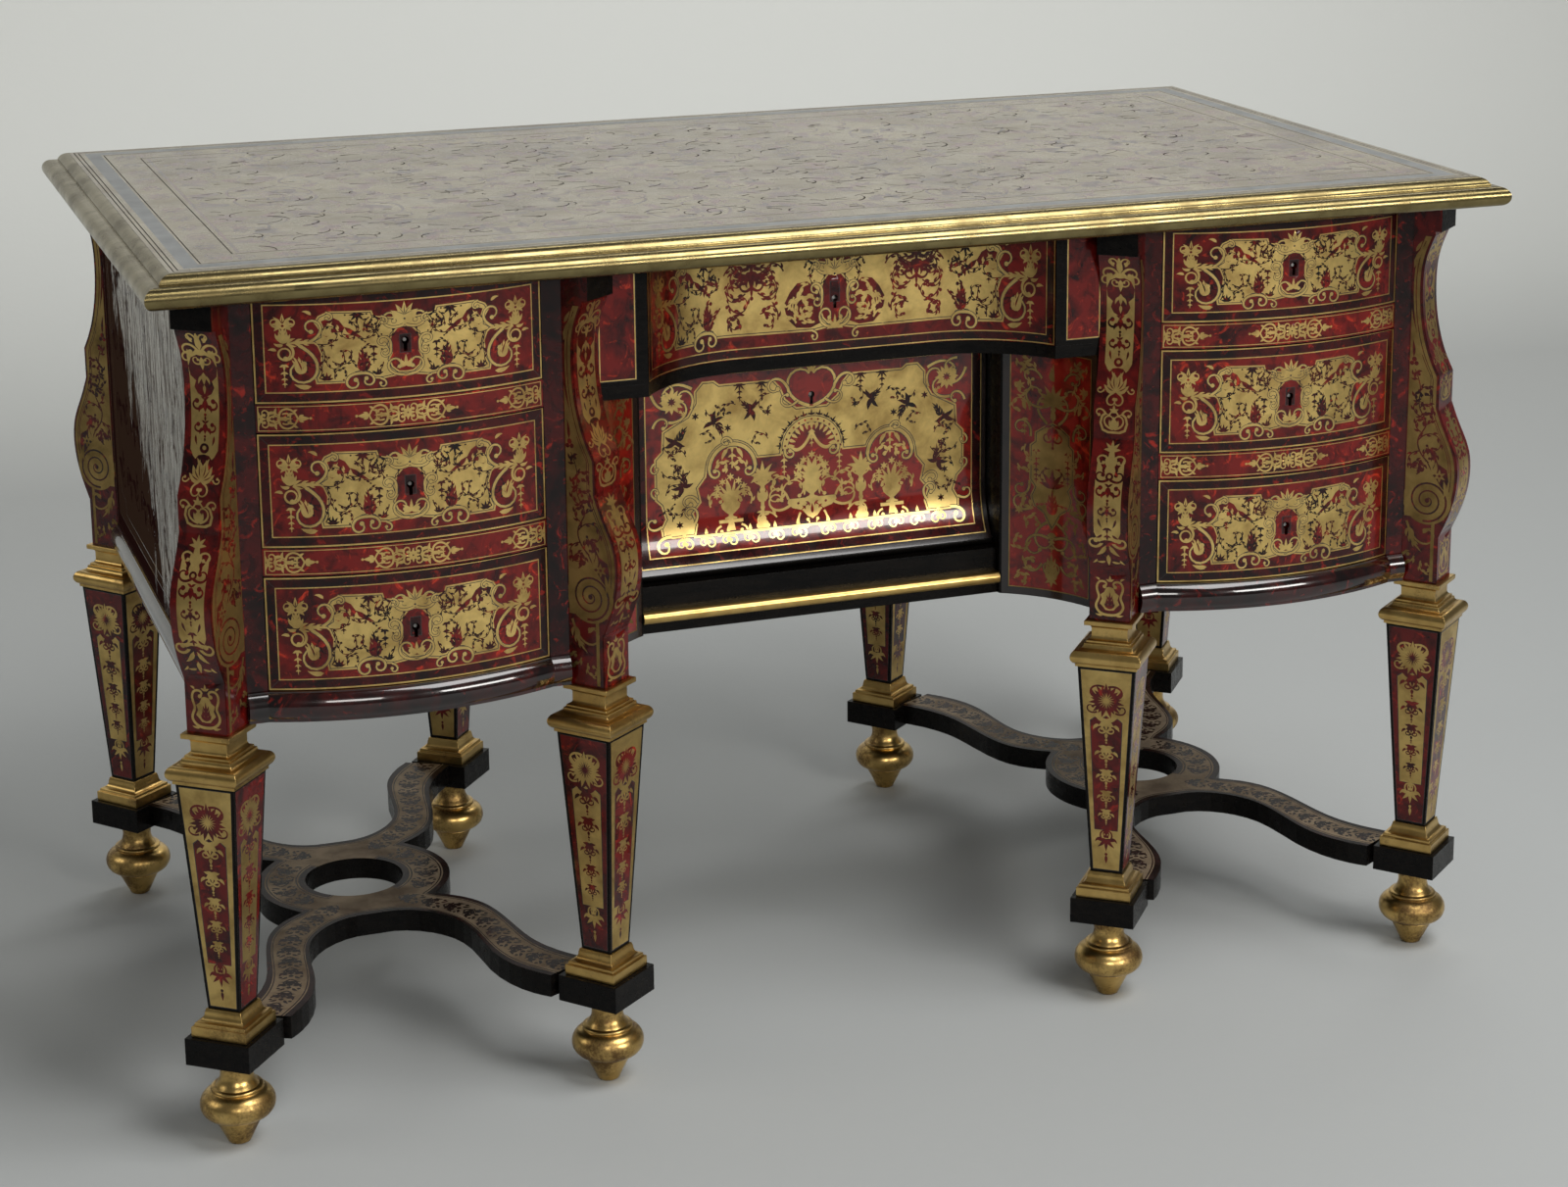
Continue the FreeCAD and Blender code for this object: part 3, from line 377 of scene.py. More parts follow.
def scroll(x, y, heading, length, turn, width, grow=0.0, tighten=1.7):
    """Stem that rolls up into a volute with a round eye."""
    line = curl(x, y, heading, length, turn, tighten)
    return ribbon(line, (width + grow, width * 0.5 + grow)) + disc(*line[-1], width * 0.8 + grow / 2)


def leaf(x, y, heading, length, width, turn=0.0):
    """Pointed leaf along a bent midrib, widest before its middle."""
    return strip(curl(x, y, heading, length, turn),
                 lambda share: width * math.sin(math.pi * share ** 0.7) / 2 if 0 < share < 1 else 0)


def spray(x, y, heading, length, width, count=3, spread=80.0, droop=0.0):
    """Fan of leaves from one point, the middle one longest."""
    leaves = []
    for index in range(count):
        share = index / (count - 1) - 0.5
        leaves += leaf(x, y, heading + spread * share, length * (1 - 0.9 * share * share), width, droop * 2 * share)
    return leaves


def within(polygon, x, y):
    """Which of the places lie inside the polygon, wherever it folds over itself too."""
    ax, ay = np.array(polygon).T[:, :, None]
    bx, by = np.roll(ax, -1, axis=0), np.roll(ay, -1, axis=0)
    side = (bx - ax) * (y - ay) - (x - ax) * (by - ay)
    return ((ay <= y) & (by > y) & (side > 0)).sum(axis=0) != ((ay > y) & (by <= y) & (side < 0)).sum(axis=0)


def marquetry(name, outline, shapes, surface, sheets, body="carcass", folds=(),
              lift=0.25):
    """Veneer over a board: the outline cut up by the shapes, each part in the sheet of the last shape over it.
    surface gives place and direction for a point of the drawing, and a shape with no sheet is a hole."""
    points, edges = [], []
    for polygon in [outline] + [polygon for sheet, polygon in shapes]:
        start, count = len(points), len(polygon)
        points += polygon
        edges += [(start + k, start + (k + 1) % count) for k in range(count)]
    for ends in folds:
        edges.append((len(points), len(points) + 1))
        points += ends
    places, _, triangles = delaunay_2d_cdt([Vector(point) for point in points], edges, [], 0, 1e-4, False)[:3]
    corners = np.array(places)[np.array(triangles)]
    centers = corners.mean(axis=1)
    order = centers[:, 0].argsort()
    x, y = centers[order].T
    sheet_of = np.full(len(order), -1)
    for sheet, polygon in [(0, outline)] + shapes:
        (low_x, low_y), (high_x, high_y) = map(min, zip(*polygon)), map(max, zip(*polygon))
        first, last = np.searchsorted(x, (low_x, high_x))
        near = first + np.flatnonzero((y[first:last] > low_y) & (y[first:last] < high_y))
        inside = near[within(polygon, x[near], y[near])]
        if polygon is not outline:
            inside = inside[sheet_of[inside] > -1]
        sheet_of[inside] = -2 if sheet is None else sheet
    kept = sheet_of > -1
    spots = [surface(*place) for place in places]
    lifted = [Vector(spot) + Vector(out) * lift for spot, out in spots]
    a, b, c = (lifted[k] for k in triangles[order[kept.argmax()]])
    way = 1 if (b - a).cross(c - a).dot(Vector(spots[triangles[order[kept.argmax()]][0]][1])) > 0 else -1
    faces = [triangles[index][::way] for index in order[kept]]
    piece = new_piece(name, lifted, faces, body, sheets, 180)
    piece.data.polygons.foreach_set("material_index", sheet_of[kept].astype(np.int32))
    piece.data.normals_split_custom_set_from_vertices([Vector(out).normalized() for spot, out in spots])
    return piece


def tortoiseshell(name, dark, red, bright, cloud=0.5, gloss=0.45, shine=0.25):
    """Turtle shell over red foil under a polish: clouds of red and black with a few bright flames."""
    material, shader = new_material(name, Specular_IOR_Level=shine, Coat_Weight=gloss, Coat_Roughness=0.05)
    clouds = ramp(material, noise(material, 22, 5, 0.6, 1.1), (cloud - 0.12, dark), (cloud + 0.08, red))
    flames = ramp(material, noise(material, 48, 4, 0.65, 2.2), (0.58, (0.0,)), (0.70, (1.0,)))
    spots = ramp(material, noise(material, 70, 4, 0.6, 0.8), (0.36, (0.25,)), (0.5, (1.0,)))
    color = blended(material, "MULTIPLY", 0.8, blended(material, "MIX", flames, clouds, bright), spots)
    drive(material, shader, Base_Color=color,
          Roughness=ramp(material, noise(material, 35, 5), (0.3, (0.14,)), (0.7, (0.26,))))
    dented(material, shader, noise(material, 130, 4), 0.00005)
    return material


def inlay_brass(name, light, shade, rough=0.34, scratch=0.00006, metal=1.0):
    """Sheet brass, rubbed flush and lightly tarnished, with fine scratches along the panel."""
    material, shader = new_material(name, Metallic=metal, Specular_IOR_Level=0.1)
    tarnish = noise(material, 34, 6, 0.6, 0.3)
    drive(material, shader, Base_Color=ramp(material, tarnish, (0.32, shade), (0.62, light)),
          Roughness=ramp(material, tarnish, (0.3, (rough + 0.12,)), (0.7, (rough - 0.03,))))
    dented(material, shader, noise(material, 500, 4, 0.6, 0, (1, 1, 8)), scratch)
    return material


def stretcher_drawing():
    """Lines along every edge of the arms and the ring, with both edges of an arm for what runs along it."""
    inner = smooth_line([(0, ARCH_APEX)] + [(u * LEG_X, v * LEG_Y) for u, v in arm_inner_shares], LINE_STEPS)
    outer = smooth_line([(u * LEG_X, v * LEG_Y) for u, v in arm_outer_shares], LINE_STEPS)
    outer = [(outer[0][0] * k / 12, outer[0][1] * k / 12) for k in range(12)] + outer
    outer = smooth_line(outer, LINE_STEPS)
    art = Drawing((1, 1), (-1, 1), (1, -1), (-1, -1))

    def arm_strip(depth):
        """Quads that leave a border of this depth along both edges of an arm."""
        left, right = [], []
        for (ax, ay), (bx, by) in zip(inner, outer):
            reach = math.hypot(bx - ax, by - ay)
            share = min(depth / reach, 0.49)
            left.append((ax + (bx - ax) * share, ay + (by - ay) * share))
            right.append((bx - (bx - ax) * share, by - (by - ay) * share))
        return [[right[k], right[k + 1], left[k + 1], left[k]] for k in range(len(left) - 1)]

    def rim(radius):
        """Closed circle round the middle."""
        return [(radius * math.cos(2 * math.pi * k / RING_STEPS), radius * math.sin(2 * math.pi * k / RING_STEPS))
                for k in range(RING_STEPS + 1)]

    def ring_strip(depth):
        """The same quads for the ring."""
        inside, outside = rim(RING_HOLE + depth), rim(RING_RADIUS - depth)
        return [[inside[k], outside[k], outside[k + 1], inside[k + 1]] for k in range(RING_STEPS)]

    for depth, sheet in ((3.0, SHELL), (6.6, BRASS), (8.0, SHELL), (9.4, BRASS)):
        for polygon in arm_strip(depth):
            art.cut(sheet, [polygon])
        art.shapes += [(sheet, polygon) for polygon in ring_strip(depth)]
    return art, inner, outer


def run_along(line, pieces):
    """Carries pieces drawn on a straight band over to a band that follows a line."""
    stops = stops_along(line)
    carried = []
    for polygon in pieces:
        bent = []
        for along, across in polygon:
            at = min(max(along, 0.0), stops[-1] - 1e-6)
            k = next(index for index in range(len(stops) - 1) if at < stops[index + 1])
            share = (at - stops[k]) / (stops[k + 1] - stops[k])
            (ax, ay), (bx, by) = line[k], line[k + 1]
            length = math.dist(line[k], line[k + 1])
            bent.append((ax + (bx - ax) * share - (by - ay) / length * across,
                         ay + (by - ay) * share + (bx - ax) / length * across))
        carried.append(bent)
    return carried


def vine(length, half, pitch):
    """Running band ornament: paired curls, a flower and buds at every pitch."""
    pieces = []
    count = int(length / pitch)
    for index in range(count):
        at = pitch * (index + 0.5)
        for side in (-1, 1):
            pieces += scroll(at - pitch * 0.46, 0, side * 58, pitch * 1.1, side * -300, 2.0)
            pieces += leaf(at - pitch * 0.1, side * half * 0.4, side * 60, half * 0.9, 3.8, side * -50)
            pieces += leaf(at + pitch * 0.12, side * half * 0.25, side * 100, half * 0.8, 3.4, side * 50)
            pieces += leaf(at + pitch * 0.3, side * half * 0.3, side * 20, half * 0.7, 3.2, side * 60)
            pieces += disc(at + pitch * 0.34, side * half * 0.78, 1.8, 7)
        pieces += spray(at - pitch * 0.3, 0, 0, pitch * 0.5, 3.4, 5, 120, 40)
        pieces += disc(at + pitch * 0.25, 0, 2.4, 8)
    return pieces


stretcher_shell = tortoiseshell("stretcher_shell", (0.006, 0.003, 0.003), (0.020, 0.009, 0.009), (0.05, 0.015, 0.012),
                                0.5, 0.0, 0.07)
stretcher_brass = inlay_brass("stretcher_brass", (0.24, 0.18, 0.115), (0.12, 0.085, 0.055), 0.5, 0.00006, 0.35)
art, arm_inner, arm_outer = stretcher_drawing()
arm_middle = [((ax + bx) / 2, (ay + by) / 2) for (ax, ay), (bx, by) in zip(arm_inner, arm_outer)]
arm_middle = arm_middle[VINE_START:]
arm_length = stops_along(arm_middle)[-1]
art.cut(SHELL, run_along(arm_middle, vine(arm_length, VINE_HALF, ARM_VINE_PITCH)))
ring_middle = (RING_HOLE + RING_RADIUS) / 2
ring_line = [(ring_middle * x, ring_middle * y) for x, y in map(bearing, range(-45, 46, 5))]
ring_shapes = run_along(ring_line, vine(4 * RING_VINE_PITCH, VINE_HALF + 1, RING_VINE_PITCH))
ring_shapes += [[(-x, y) for x, y in polygon] for polygon in ring_shapes]
art.shapes += [(SHELL, polygon) for polygon in ring_shapes]
for side, sign in SIDES:
    middle = sign * PEDESTAL_X
    quarter = [(x, y) for x, y in arm_outer if math.hypot(x, y) > RING_RADIUS - 1]
    quarter += arm_inner[::-1]
    start = math.atan2(quarter[0][1], quarter[0][0])
    rim = [(RING_RADIUS * math.cos(start * k / 8), RING_RADIUS * math.sin(start * k / 8)) for k in range(8)]
    quarter = rim + quarter
    outline = quarter + [(-x, y) for x, y in quarter[-2::-1]]
    outline += [(-x, -y) for x, y in outline[1:-1]]
    hole = disc(0, 0, RING_HOLE, 72)[0]
    marquetry(side + "_stretcher_marquetry", outline, art.shapes + [(None, hole)],
              lambda x, y: ((x + middle, y, BLOCK_TOP), (0, 0, 1)),
              [stretcher_shell, stretcher_brass, ebony, stretcher_shell], "carcass", lift=0.2)
    finish_node(side + "_stretcher", ebony)

# Leg base mouldings
# Square collars of cast and chased bronze round the foot of each leg, gilt like the feet and soldered at the mitres.
leg_gilt = gilt_bronze("gilt_bronze_legs", 0.66, 0.0007)
base_outline = ([(15.2, BLOCK_TOP), (26.3, BLOCK_TOP), (26.8, 107.2), (26.8, 116.2), (26.2, 116.8), (25.0, 116.9),
                 (24.5, 117.4), (24.5, 119.2), (23.9, 119.8)] + arc((23.9, 119.8), (20.4, 121.0), (18.4, 124.6), 7)[1:]
                + arc((18.4, 124.6), (17.6, 127.8), (17.0, 130.2), 4)[1:] + [(16.8, 130.9), (15.2, 131.0)])
bronze_at_legs("leg_base", base_outline, 4, leg_gilt, 35, "leg_base_mouldings")

# Tapered legs
# Square legs edged with ebony. Opposite faces are alike: brass round a red strip on two, red round a brass strip on
# the others, cut from the same pair of sheets. A sunflower stands over the strip and a flourish hangs under it.
LEG_FOOT, LEG_HEAD, FOOT_LEVEL, HEAD_LEVEL = 15.5, 28.0, 131.0, 342.0


def mottled(name, scale, dark, light, detail=4.0, **values):
    """Plain material that wavers between two colours."""
    material, shader = new_material(name, **values)
    drive(material, shader, Base_Color=ramp(material, noise(material, scale, detail), (0.3, dark), (0.7, light)))
    return material


def chain(top, bottom, wide, narrow, width=0.11):
    """Half of a hanging ornament of scrolls, leaves, bell flowers and beads; the drawing mirrors it."""
    pieces = []
    y = top
    while y - narrow * 1.4 > bottom:
        size = narrow + (wide - narrow) * (y - bottom) / (top - bottom)
        pieces += scroll(0, y - 0.95 * size, 42, 1.5 * size, 270, width * size)
        pieces += leaf(0.42 * size, y - 0.52 * size, 345, 0.5 * size, 0.2 * size, -60)
        pieces += scroll(0.03 * size, y - 0.9 * size, 320, 0.75 * size, 250, width * 0.8 * size)
        pieces += spray(0, y - 0.16 * size, 270, 0.7 * size, 0.24 * size, 5, 130, 50)
        pieces += leaf(0, y - 1.0 * size, 270, 0.36 * size, 0.2 * size)
        pieces += disc(0, y - 1.42 * size, 0.08 * size, 8) + disc(0, y - 1.58 * size, 0.055 * size, 7)
        y -= 1.66 * size
    return pieces


def leg_drawing(ground, other):
    """Face of a leg, drawn with its foot at the bottom: a border, a tapering strip, and the ornament on both."""
    art = Drawing((1, 1), (-1, 1))
    height = HEAD_LEVEL - FOOT_LEVEL

    def half(level, margin):
        return LEG_FOOT + (LEG_HEAD - LEG_FOOT) * level / height - margin

    art.cut(ground, [[(0, 3), (half(3, 3), 3), (half(height - 3, 3), height - 3), (0, height - 3)]])
    for share, rise, sheet in ((0.64, 0.0, BLACK), (0.61, 0.5, other)):
        low, top = 44 + rise, 161 - rise
        shape = [(0, low), (half(low, 0) * share, low), (half(top, 0) * share, top - 4),
                 (half(top, 0) * share - 5, top), (half(top, 0) * share - 9, top - 3), (0, top + 2)]
        art.cut(sheet, [shape])
    # Sunflower over the strip, with leaves and scrolls in the strip's sheet, and a flourish under it
    art.cut(other, disc(0, 178, 8.6, 16))
    for index in range(11):
        art.cut(other, leaf(0, 178, -75 + 16.5 * index, 18 - 2.5 * (index % 2), 5.2))
    art.cut(ground, disc(0, 178, 2.0, 10))
    for index in range(9):
        art.cut(ground, leaf(0, 178, -84 + 21 * index, 8.6, 1.0))
    art.cut(other, scroll(2, 192, 15, 30, -270, 2.4) + scroll(9, 166, -20, 20, 260, 2.0) + leaf(10, 182, 30, 9, 3, 60))
    art.cut(ground, chain(162, 46, 17.0, 9.0, 0.14))
    art.cut(other, scroll(1, 31, 40, 26, 290, 2.0) + leaf(5, 36, 350, 8, 2.6, -60) + leaf(0, 38, 90, 12, 4.4))
    art.cut(other, spray(0, 35, 270, 13, 3.6, 5, 130, 40) + disc(0, 19, 1.5, 8) + leaf(0, 18, 270, 9, 3.0))
    return art.shapes


leg_shell = tortoiseshell("leg_shell", (0.02, 0.0015, 0.0015), (0.105, 0.005, 0.004), (0.30, 0.018, 0.008), 0.46, 0.25)
leg_brass = inlay_brass("leg_brass", (0.66, 0.47, 0.17), (0.34, 0.22, 0.075))
line_black = mottled("line_black", 60, (0.006, 0.004, 0.004), (0.02, 0.01, 0.008), Roughness=0.22, Coat_Weight=0.5,
                     Coat_Roughness=0.08)
leg_height = HEAD_LEVEL - FOOT_LEVEL
leg_outline = [(-LEG_FOOT + 2.2, 2.4), (LEG_FOOT - 2.2, 2.4), (LEG_HEAD - 2.8, leg_height - 2.4),
               (-LEG_HEAD + 2.8, leg_height - 2.4)]
lean = (LEG_HEAD - LEG_FOOT) / leg_height
for place, middle, angle in leg_places():
    for face in range(4):
        turn = angle + face * math.pi / 2
        out = Matrix.Rotation(turn, 3, "Z") @ Vector((1, 0, -lean))
        ground, other = ((BRASS, SHELL), (SHELL, BRASS))[face % 2]
        marquetry(f"leg_face_{place}_{face + 1}", leg_outline, [(BLACK, leg_outline)] + leg_drawing(ground, other),
                  lambda x, y: (Matrix.Rotation(turn, 3, "Z") @ Vector((LEG_FOOT + lean * y, x, 0)) + middle
                                + Vector((0, 0, FOOT_LEVEL + y)), out),
                  [leg_shell, leg_brass, line_black, leg_shell])
finish_node("tapered_legs", ebony)

# Capitals
# Square bronze capitals over the legs: a wide torus, an ogee, a deep cove and an abacus that carries the die.
capital_outline = ([(27.0, HEAD_LEVEL), (30.0, HEAD_LEVEL), (30.0, 344.6), (30.6, 345.1)]
                   + arc((31.1, 345.2), (34.4, 351.4), (31.6, 357.4), 10) + [(30.6, 358.0)]
                   + arc((29.8, 358.3), (25.2, 359.3), (23.5, 362.0), 6) + [(23.5, 363.6), (21.6, 364.2), (21.6, 366.0)]
                   + arc((21.2, 366.2), (18.4, 367.6), (17.5, 370.0), 6) + [(17.5, 377.6)]
                   + arc((17.7, 378.4), (19.4, 380.6), (23.4, 381.5), 7)
                   + [(23.5, 385.4), (23.0, 385.95), (15.0, 386.0)])
bronze_at_legs("capital", capital_outline, 4, leg_gilt, 35, "capitals")

# Consoles
# S-shaped brackets of solid wood on the canted corners, veneered all round and glued to the posts: a die at the foot,
# a belly, a flat tablet, a waist and an ebonised cap under the top. Fronts and sides carry brass and shell.
CONSOLE_HALF, HEEL, CONSOLE_FOOT, CAP_LEVEL, CARCASS_TOP = 19.5, -18.0, 386.0, 737.0, 763.0
SIDE_MARGIN = 0.4
console_curves = (((36.5, 433.9), (46.7, 459.0), (53.0, 489.7), (50.85, 516.2), (39.7, 542.6), (31.5, 563.2)),
                  ((31.5, 594.1), (25.35, 606.4), (15.9, 635.4), (11.0, 681.9), (13.75, 710.6), (22.0, 734.0)))
console_line = [(36.5, CONSOLE_FOOT)]
for curve in console_curves:
    console_line += smooth_line(curve, 26)
console_line += [(22.0, CAP_LEVEL), (28.0, CAP_LEVEL), (28.0, CARCASS_TOP)]
console_line = [(out + HEEL, level) for out, level in console_line]


def front_at(level, line):
    """How far out the console's front is at a level."""
    for (ax, az), (bx, bz) in zip(line, line[1:]):
        if az <= level <= bz and bz > az:
            return ax + (bx - ax) * (level - az) / (bz - az)
    return line[-1][0]


def rosette(x, y, radius, petals=10):
    """Flower seen from the front."""
    pieces = []
    for petal in range(petals):
        pieces += leaf(x, y, 90 + 360 * petal / petals, radius, radius * 0.42)
    return pieces


def rectangle_at(left, low, right, high):
    """Rectangle between two corners."""
    return [(left, low), (right, low), (right, high), (left, high)]


def acanthus(x, y, heading, length, width, turn=0.0, lobes=4):
    """Long leaf with pairs of smaller leaves along its rib."""
    rib = curl(x, y, heading, length, turn)
    leaves = leaf(x, y, heading, length, width * 0.36, turn)
    for lobe in range(lobes):
        share = (lobe + 0.3) / (lobes + 0.4)
        px, py = rib[int(share * (len(rib) - 1))]
        size = width * (1.05 - 0.7 * share)
        for side in (-1, 1):
            leaves += leaf(px, py, heading + turn * share + side * 52, size, size * 0.3, -side * 55)
    return leaves


def husks(x, y, heading, count, size, shrink=0.82):
    """String of bell flowers, each of three petals and a bead, that get smaller."""
    pieces = []
    along_x, along_y = bearing(heading)
    for _ in range(count):
        pieces += spray(x, y, heading, size, size * 0.36, 3, 90, 30)
        x, y = x + size * 1.12 * along_x, y + size * 1.12 * along_y
        pieces += disc(x - size * 0.06 * along_x, y - size * 0.06 * along_y, size * 0.12, 6)
        size *= shrink
    return pieces


def tendril(x, y, heading, length, turn, width=1.0, size=4.2):
    """Thin stem that rolls up, with small pointed leaves on both sides and a bud at its end."""
    line = curl(x, y, heading, length, turn, 1.5)
    pieces = ribbon(line, (width, width * 0.6)) + disc(*line[-1], width * 1.15, 7)
    for index in range(1, len(line) - 2, 2):
        (ax, ay), (bx, by) = line[index], line[index + 1]
        along, side = math.degrees(math.atan2(by - ay, bx - ax)), 1 if index % 4 == 1 else -1
        pieces += leaf(ax, ay, along + side * 50, size, size * 0.4, -side * 50)
    return pieces


def bell_flower(y, size):
    """Half of a hanging bell flower between two leaves that curl up at their ends, with a bead under it."""
    return (scroll(0.3, y, 288, 2.1 * size, 262, 0.27 * size) + leaf(0, y + 0.15 * size, 270, 1.05 * size, 0.5 * size)
            + leaf(0.25 * size, y - 0.3 * size, 325, 0.75 * size, 0.3 * size, -60)
            + leaf(0, y + 0.1 * size, 60, 0.5 * size, 0.22 * size, -50)
            + disc(0, y - 1.1 * size, 0.13 * size, 8) + leaf(0, y - 1.2 * size, 270, 0.45 * size, 0.2 * size))


def console_front_drawing():
    """Front unrolled upwards from the foot: die, belly, tablet and waist, each with its own inlay."""
    art = Drawing((1, 1), (-1, 1))
    # Die with a palmette inside a lobed plate, framed by a lyre of scrolls
    lyre = smooth_line([(-1, 6), (8, 7.5), (13.2, 15), (10.5, 23.5), (12.5, 31), (9, 39), (3.5, 37.5), (5, 33.5)], 30)
    art.cut(BRASS, ribbon(lyre, (2.6, 2.0)) + disc(5.2, 34, 1.9, 8))
    art.cut(BRASS, [[(-1, 10.5), (4, 11), (6.5, 14), (9.5, 17), (7.5, 21.5), (9, 26), (5.5, 28.5), (3.5, 33),
                     (-1, 34)]])
    art.cut(SHELL, acanthus(0, 12, 90, 17, 9, 0, 4) + leaf(1, 13, 30, 6.5, 2.4, 40))
    art.cut(BRASS, spray(0, 39, 90, 6, 2.2, 3, 90, 30) + leaf(10, 40, 60, 5, 2, -60) + leaf(6, 6, 345, 8, 2.4, 40))
    # Tablet with a small cartouche
    plate = [(-1, 189), (6, 189), (11.5, 191.5), (13.8, 199), (12.2, 206), (8.6, 209), (5, 207), (2.5, 211), (-1, 211)]
    art.cut(BRASS, [plate])
    art.cut(SHELL, [[(x * 0.84, 200 + (y - 200) * 0.8) for x, y in plate]])
    art.cut(BRASS, scroll(0.5, 193, 15, 28, 290, 2.2) + leaf(0, 192.5, 90, 13, 5.4) + leaf(1, 194, 48, 9, 3.2, 40)
            + scroll(8, 208, 60, 16, -240, 2.0) + spray(0, 210, 90, 7, 2.6, 3, 90, 30))
    # Belly: a strip under a fleuron, with bell flowers of shell, that ends in two scrolls
    art.cut(BRASS, [[(-1, 78), (5, 80), (9, 85), (12.8, 94), (13.2, 150), (12.6, 167), (9.5, 159), (5.5, 153), (3, 160),
                     (-1, 160)]])
    art.cut(BRASS, leaf(0, 152, 90, 30, 6.5) + spray(0, 172, 90, 11, 3.2, 5, 120, 40)
            + scroll(1, 161, 66, 26, -300, 2.2) + leaf(1, 157, 40, 11, 3.6, 60))
    art.cut(SHELL, disc(0, 148, 3.8, 14) + scroll(1, 145, 330, 25, 285, 2.6) + leaf(5, 150, 60, 9, 2.6, 40))
    art.cut(BRASS, disc(0, 148, 1.8, 10))
    art.cut(SHELL, bell_flower(137, 10.5) + bell_flower(117, 8.0) + husks(0, 99, 270, 2, 7)
            + leaf(8.5, 108, 265, 10, 2.4, -30))
    art.cut(SHELL, leaf(5, 92, 300, 8, 2.4, 60))
    art.cut(BRASS, scroll(4, 86, 292, 29, 300, 3.2) + leaf(2, 80, 285, 15, 4.4, 50))
    art.cut(SHELL, spray(0, 86, 270, 13, 3.2, 5, 110, 40))
    art.cut(BRASS, leaf(0, 70, 270, 13, 4.4) + leaf(3, 62, 330, 9, 2.6, 50) + leaf(11, 64, 290, 7, 2.2, 50))
    # Waist: a longer strip under a cluster of scrolls, with a cartouche, bell flowers and a palmette at its foot
    art.cut(BRASS, [[(-1, 244), (6, 246), (10, 250), (13, 256), (13.4, 336), (12.2, 343), (8, 339), (4, 343),
                     (-1, 343)]])
    art.cut(BRASS, scroll(2, 342, 55, 29, -300, 2.6) + scroll(7, 338, 30, 22, -280, 2.4) + leaf(0, 342, 90, 19, 6)
            + scroll(1, 352, 80, 20, -300, 1.8) + leaf(5, 350, 45, 9, 3.0, 50))
    art.cut(SHELL, [[(-1, 337), (4, 338), (10, 335), (13.4, 327), (12.4, 319), (7.5, 314.5), (9.4, 309), (6.4, 303.5),
                     (2, 301), (-1, 300)]])
    art.cut(BRASS, leaf(0, 336, 270, 12, 5) + scroll(0.5, 330, 340, 17, 290, 1.6) + leaf(0, 322, 270, 11, 4.4)
            + leaf(1, 319, 325, 9, 2.6, -50) + leaf(0, 311, 270, 8, 3))
    art.cut(SHELL, bell_flower(297, 10.5) + bell_flower(277, 9.0) + leaf(8.6, 268, 275, 9, 2.2, -30))
    art.cut(SHELL, disc(0, 257, 4.4, 14) + [[(-1, 252), (5, 251), (9, 246), (13.4, 242), (14.4, 233), (11, 226),
                                              (-1, 224)]])
    art.cut(BRASS, disc(0, 257.4, 1.9, 10))
    for turn, reach in ((90, 22), (66, 20), (42, 17), (16, 14)):
        art.cut(BRASS, leaf(0.5, 228, turn, reach, 6.0, 34))
        way_x, way_y = bearing(turn)
        art.cut(SHELL, leaf(2.6 * way_x, 229 + 3 * way_y, turn, reach * 0.62, 1.1, 34))
    art.cut(BRASS, scroll(2, 228, 330, 24, -290, 2.0) + scroll(11, 231, 300, 12, 250, 1.6))
    return art.shapes


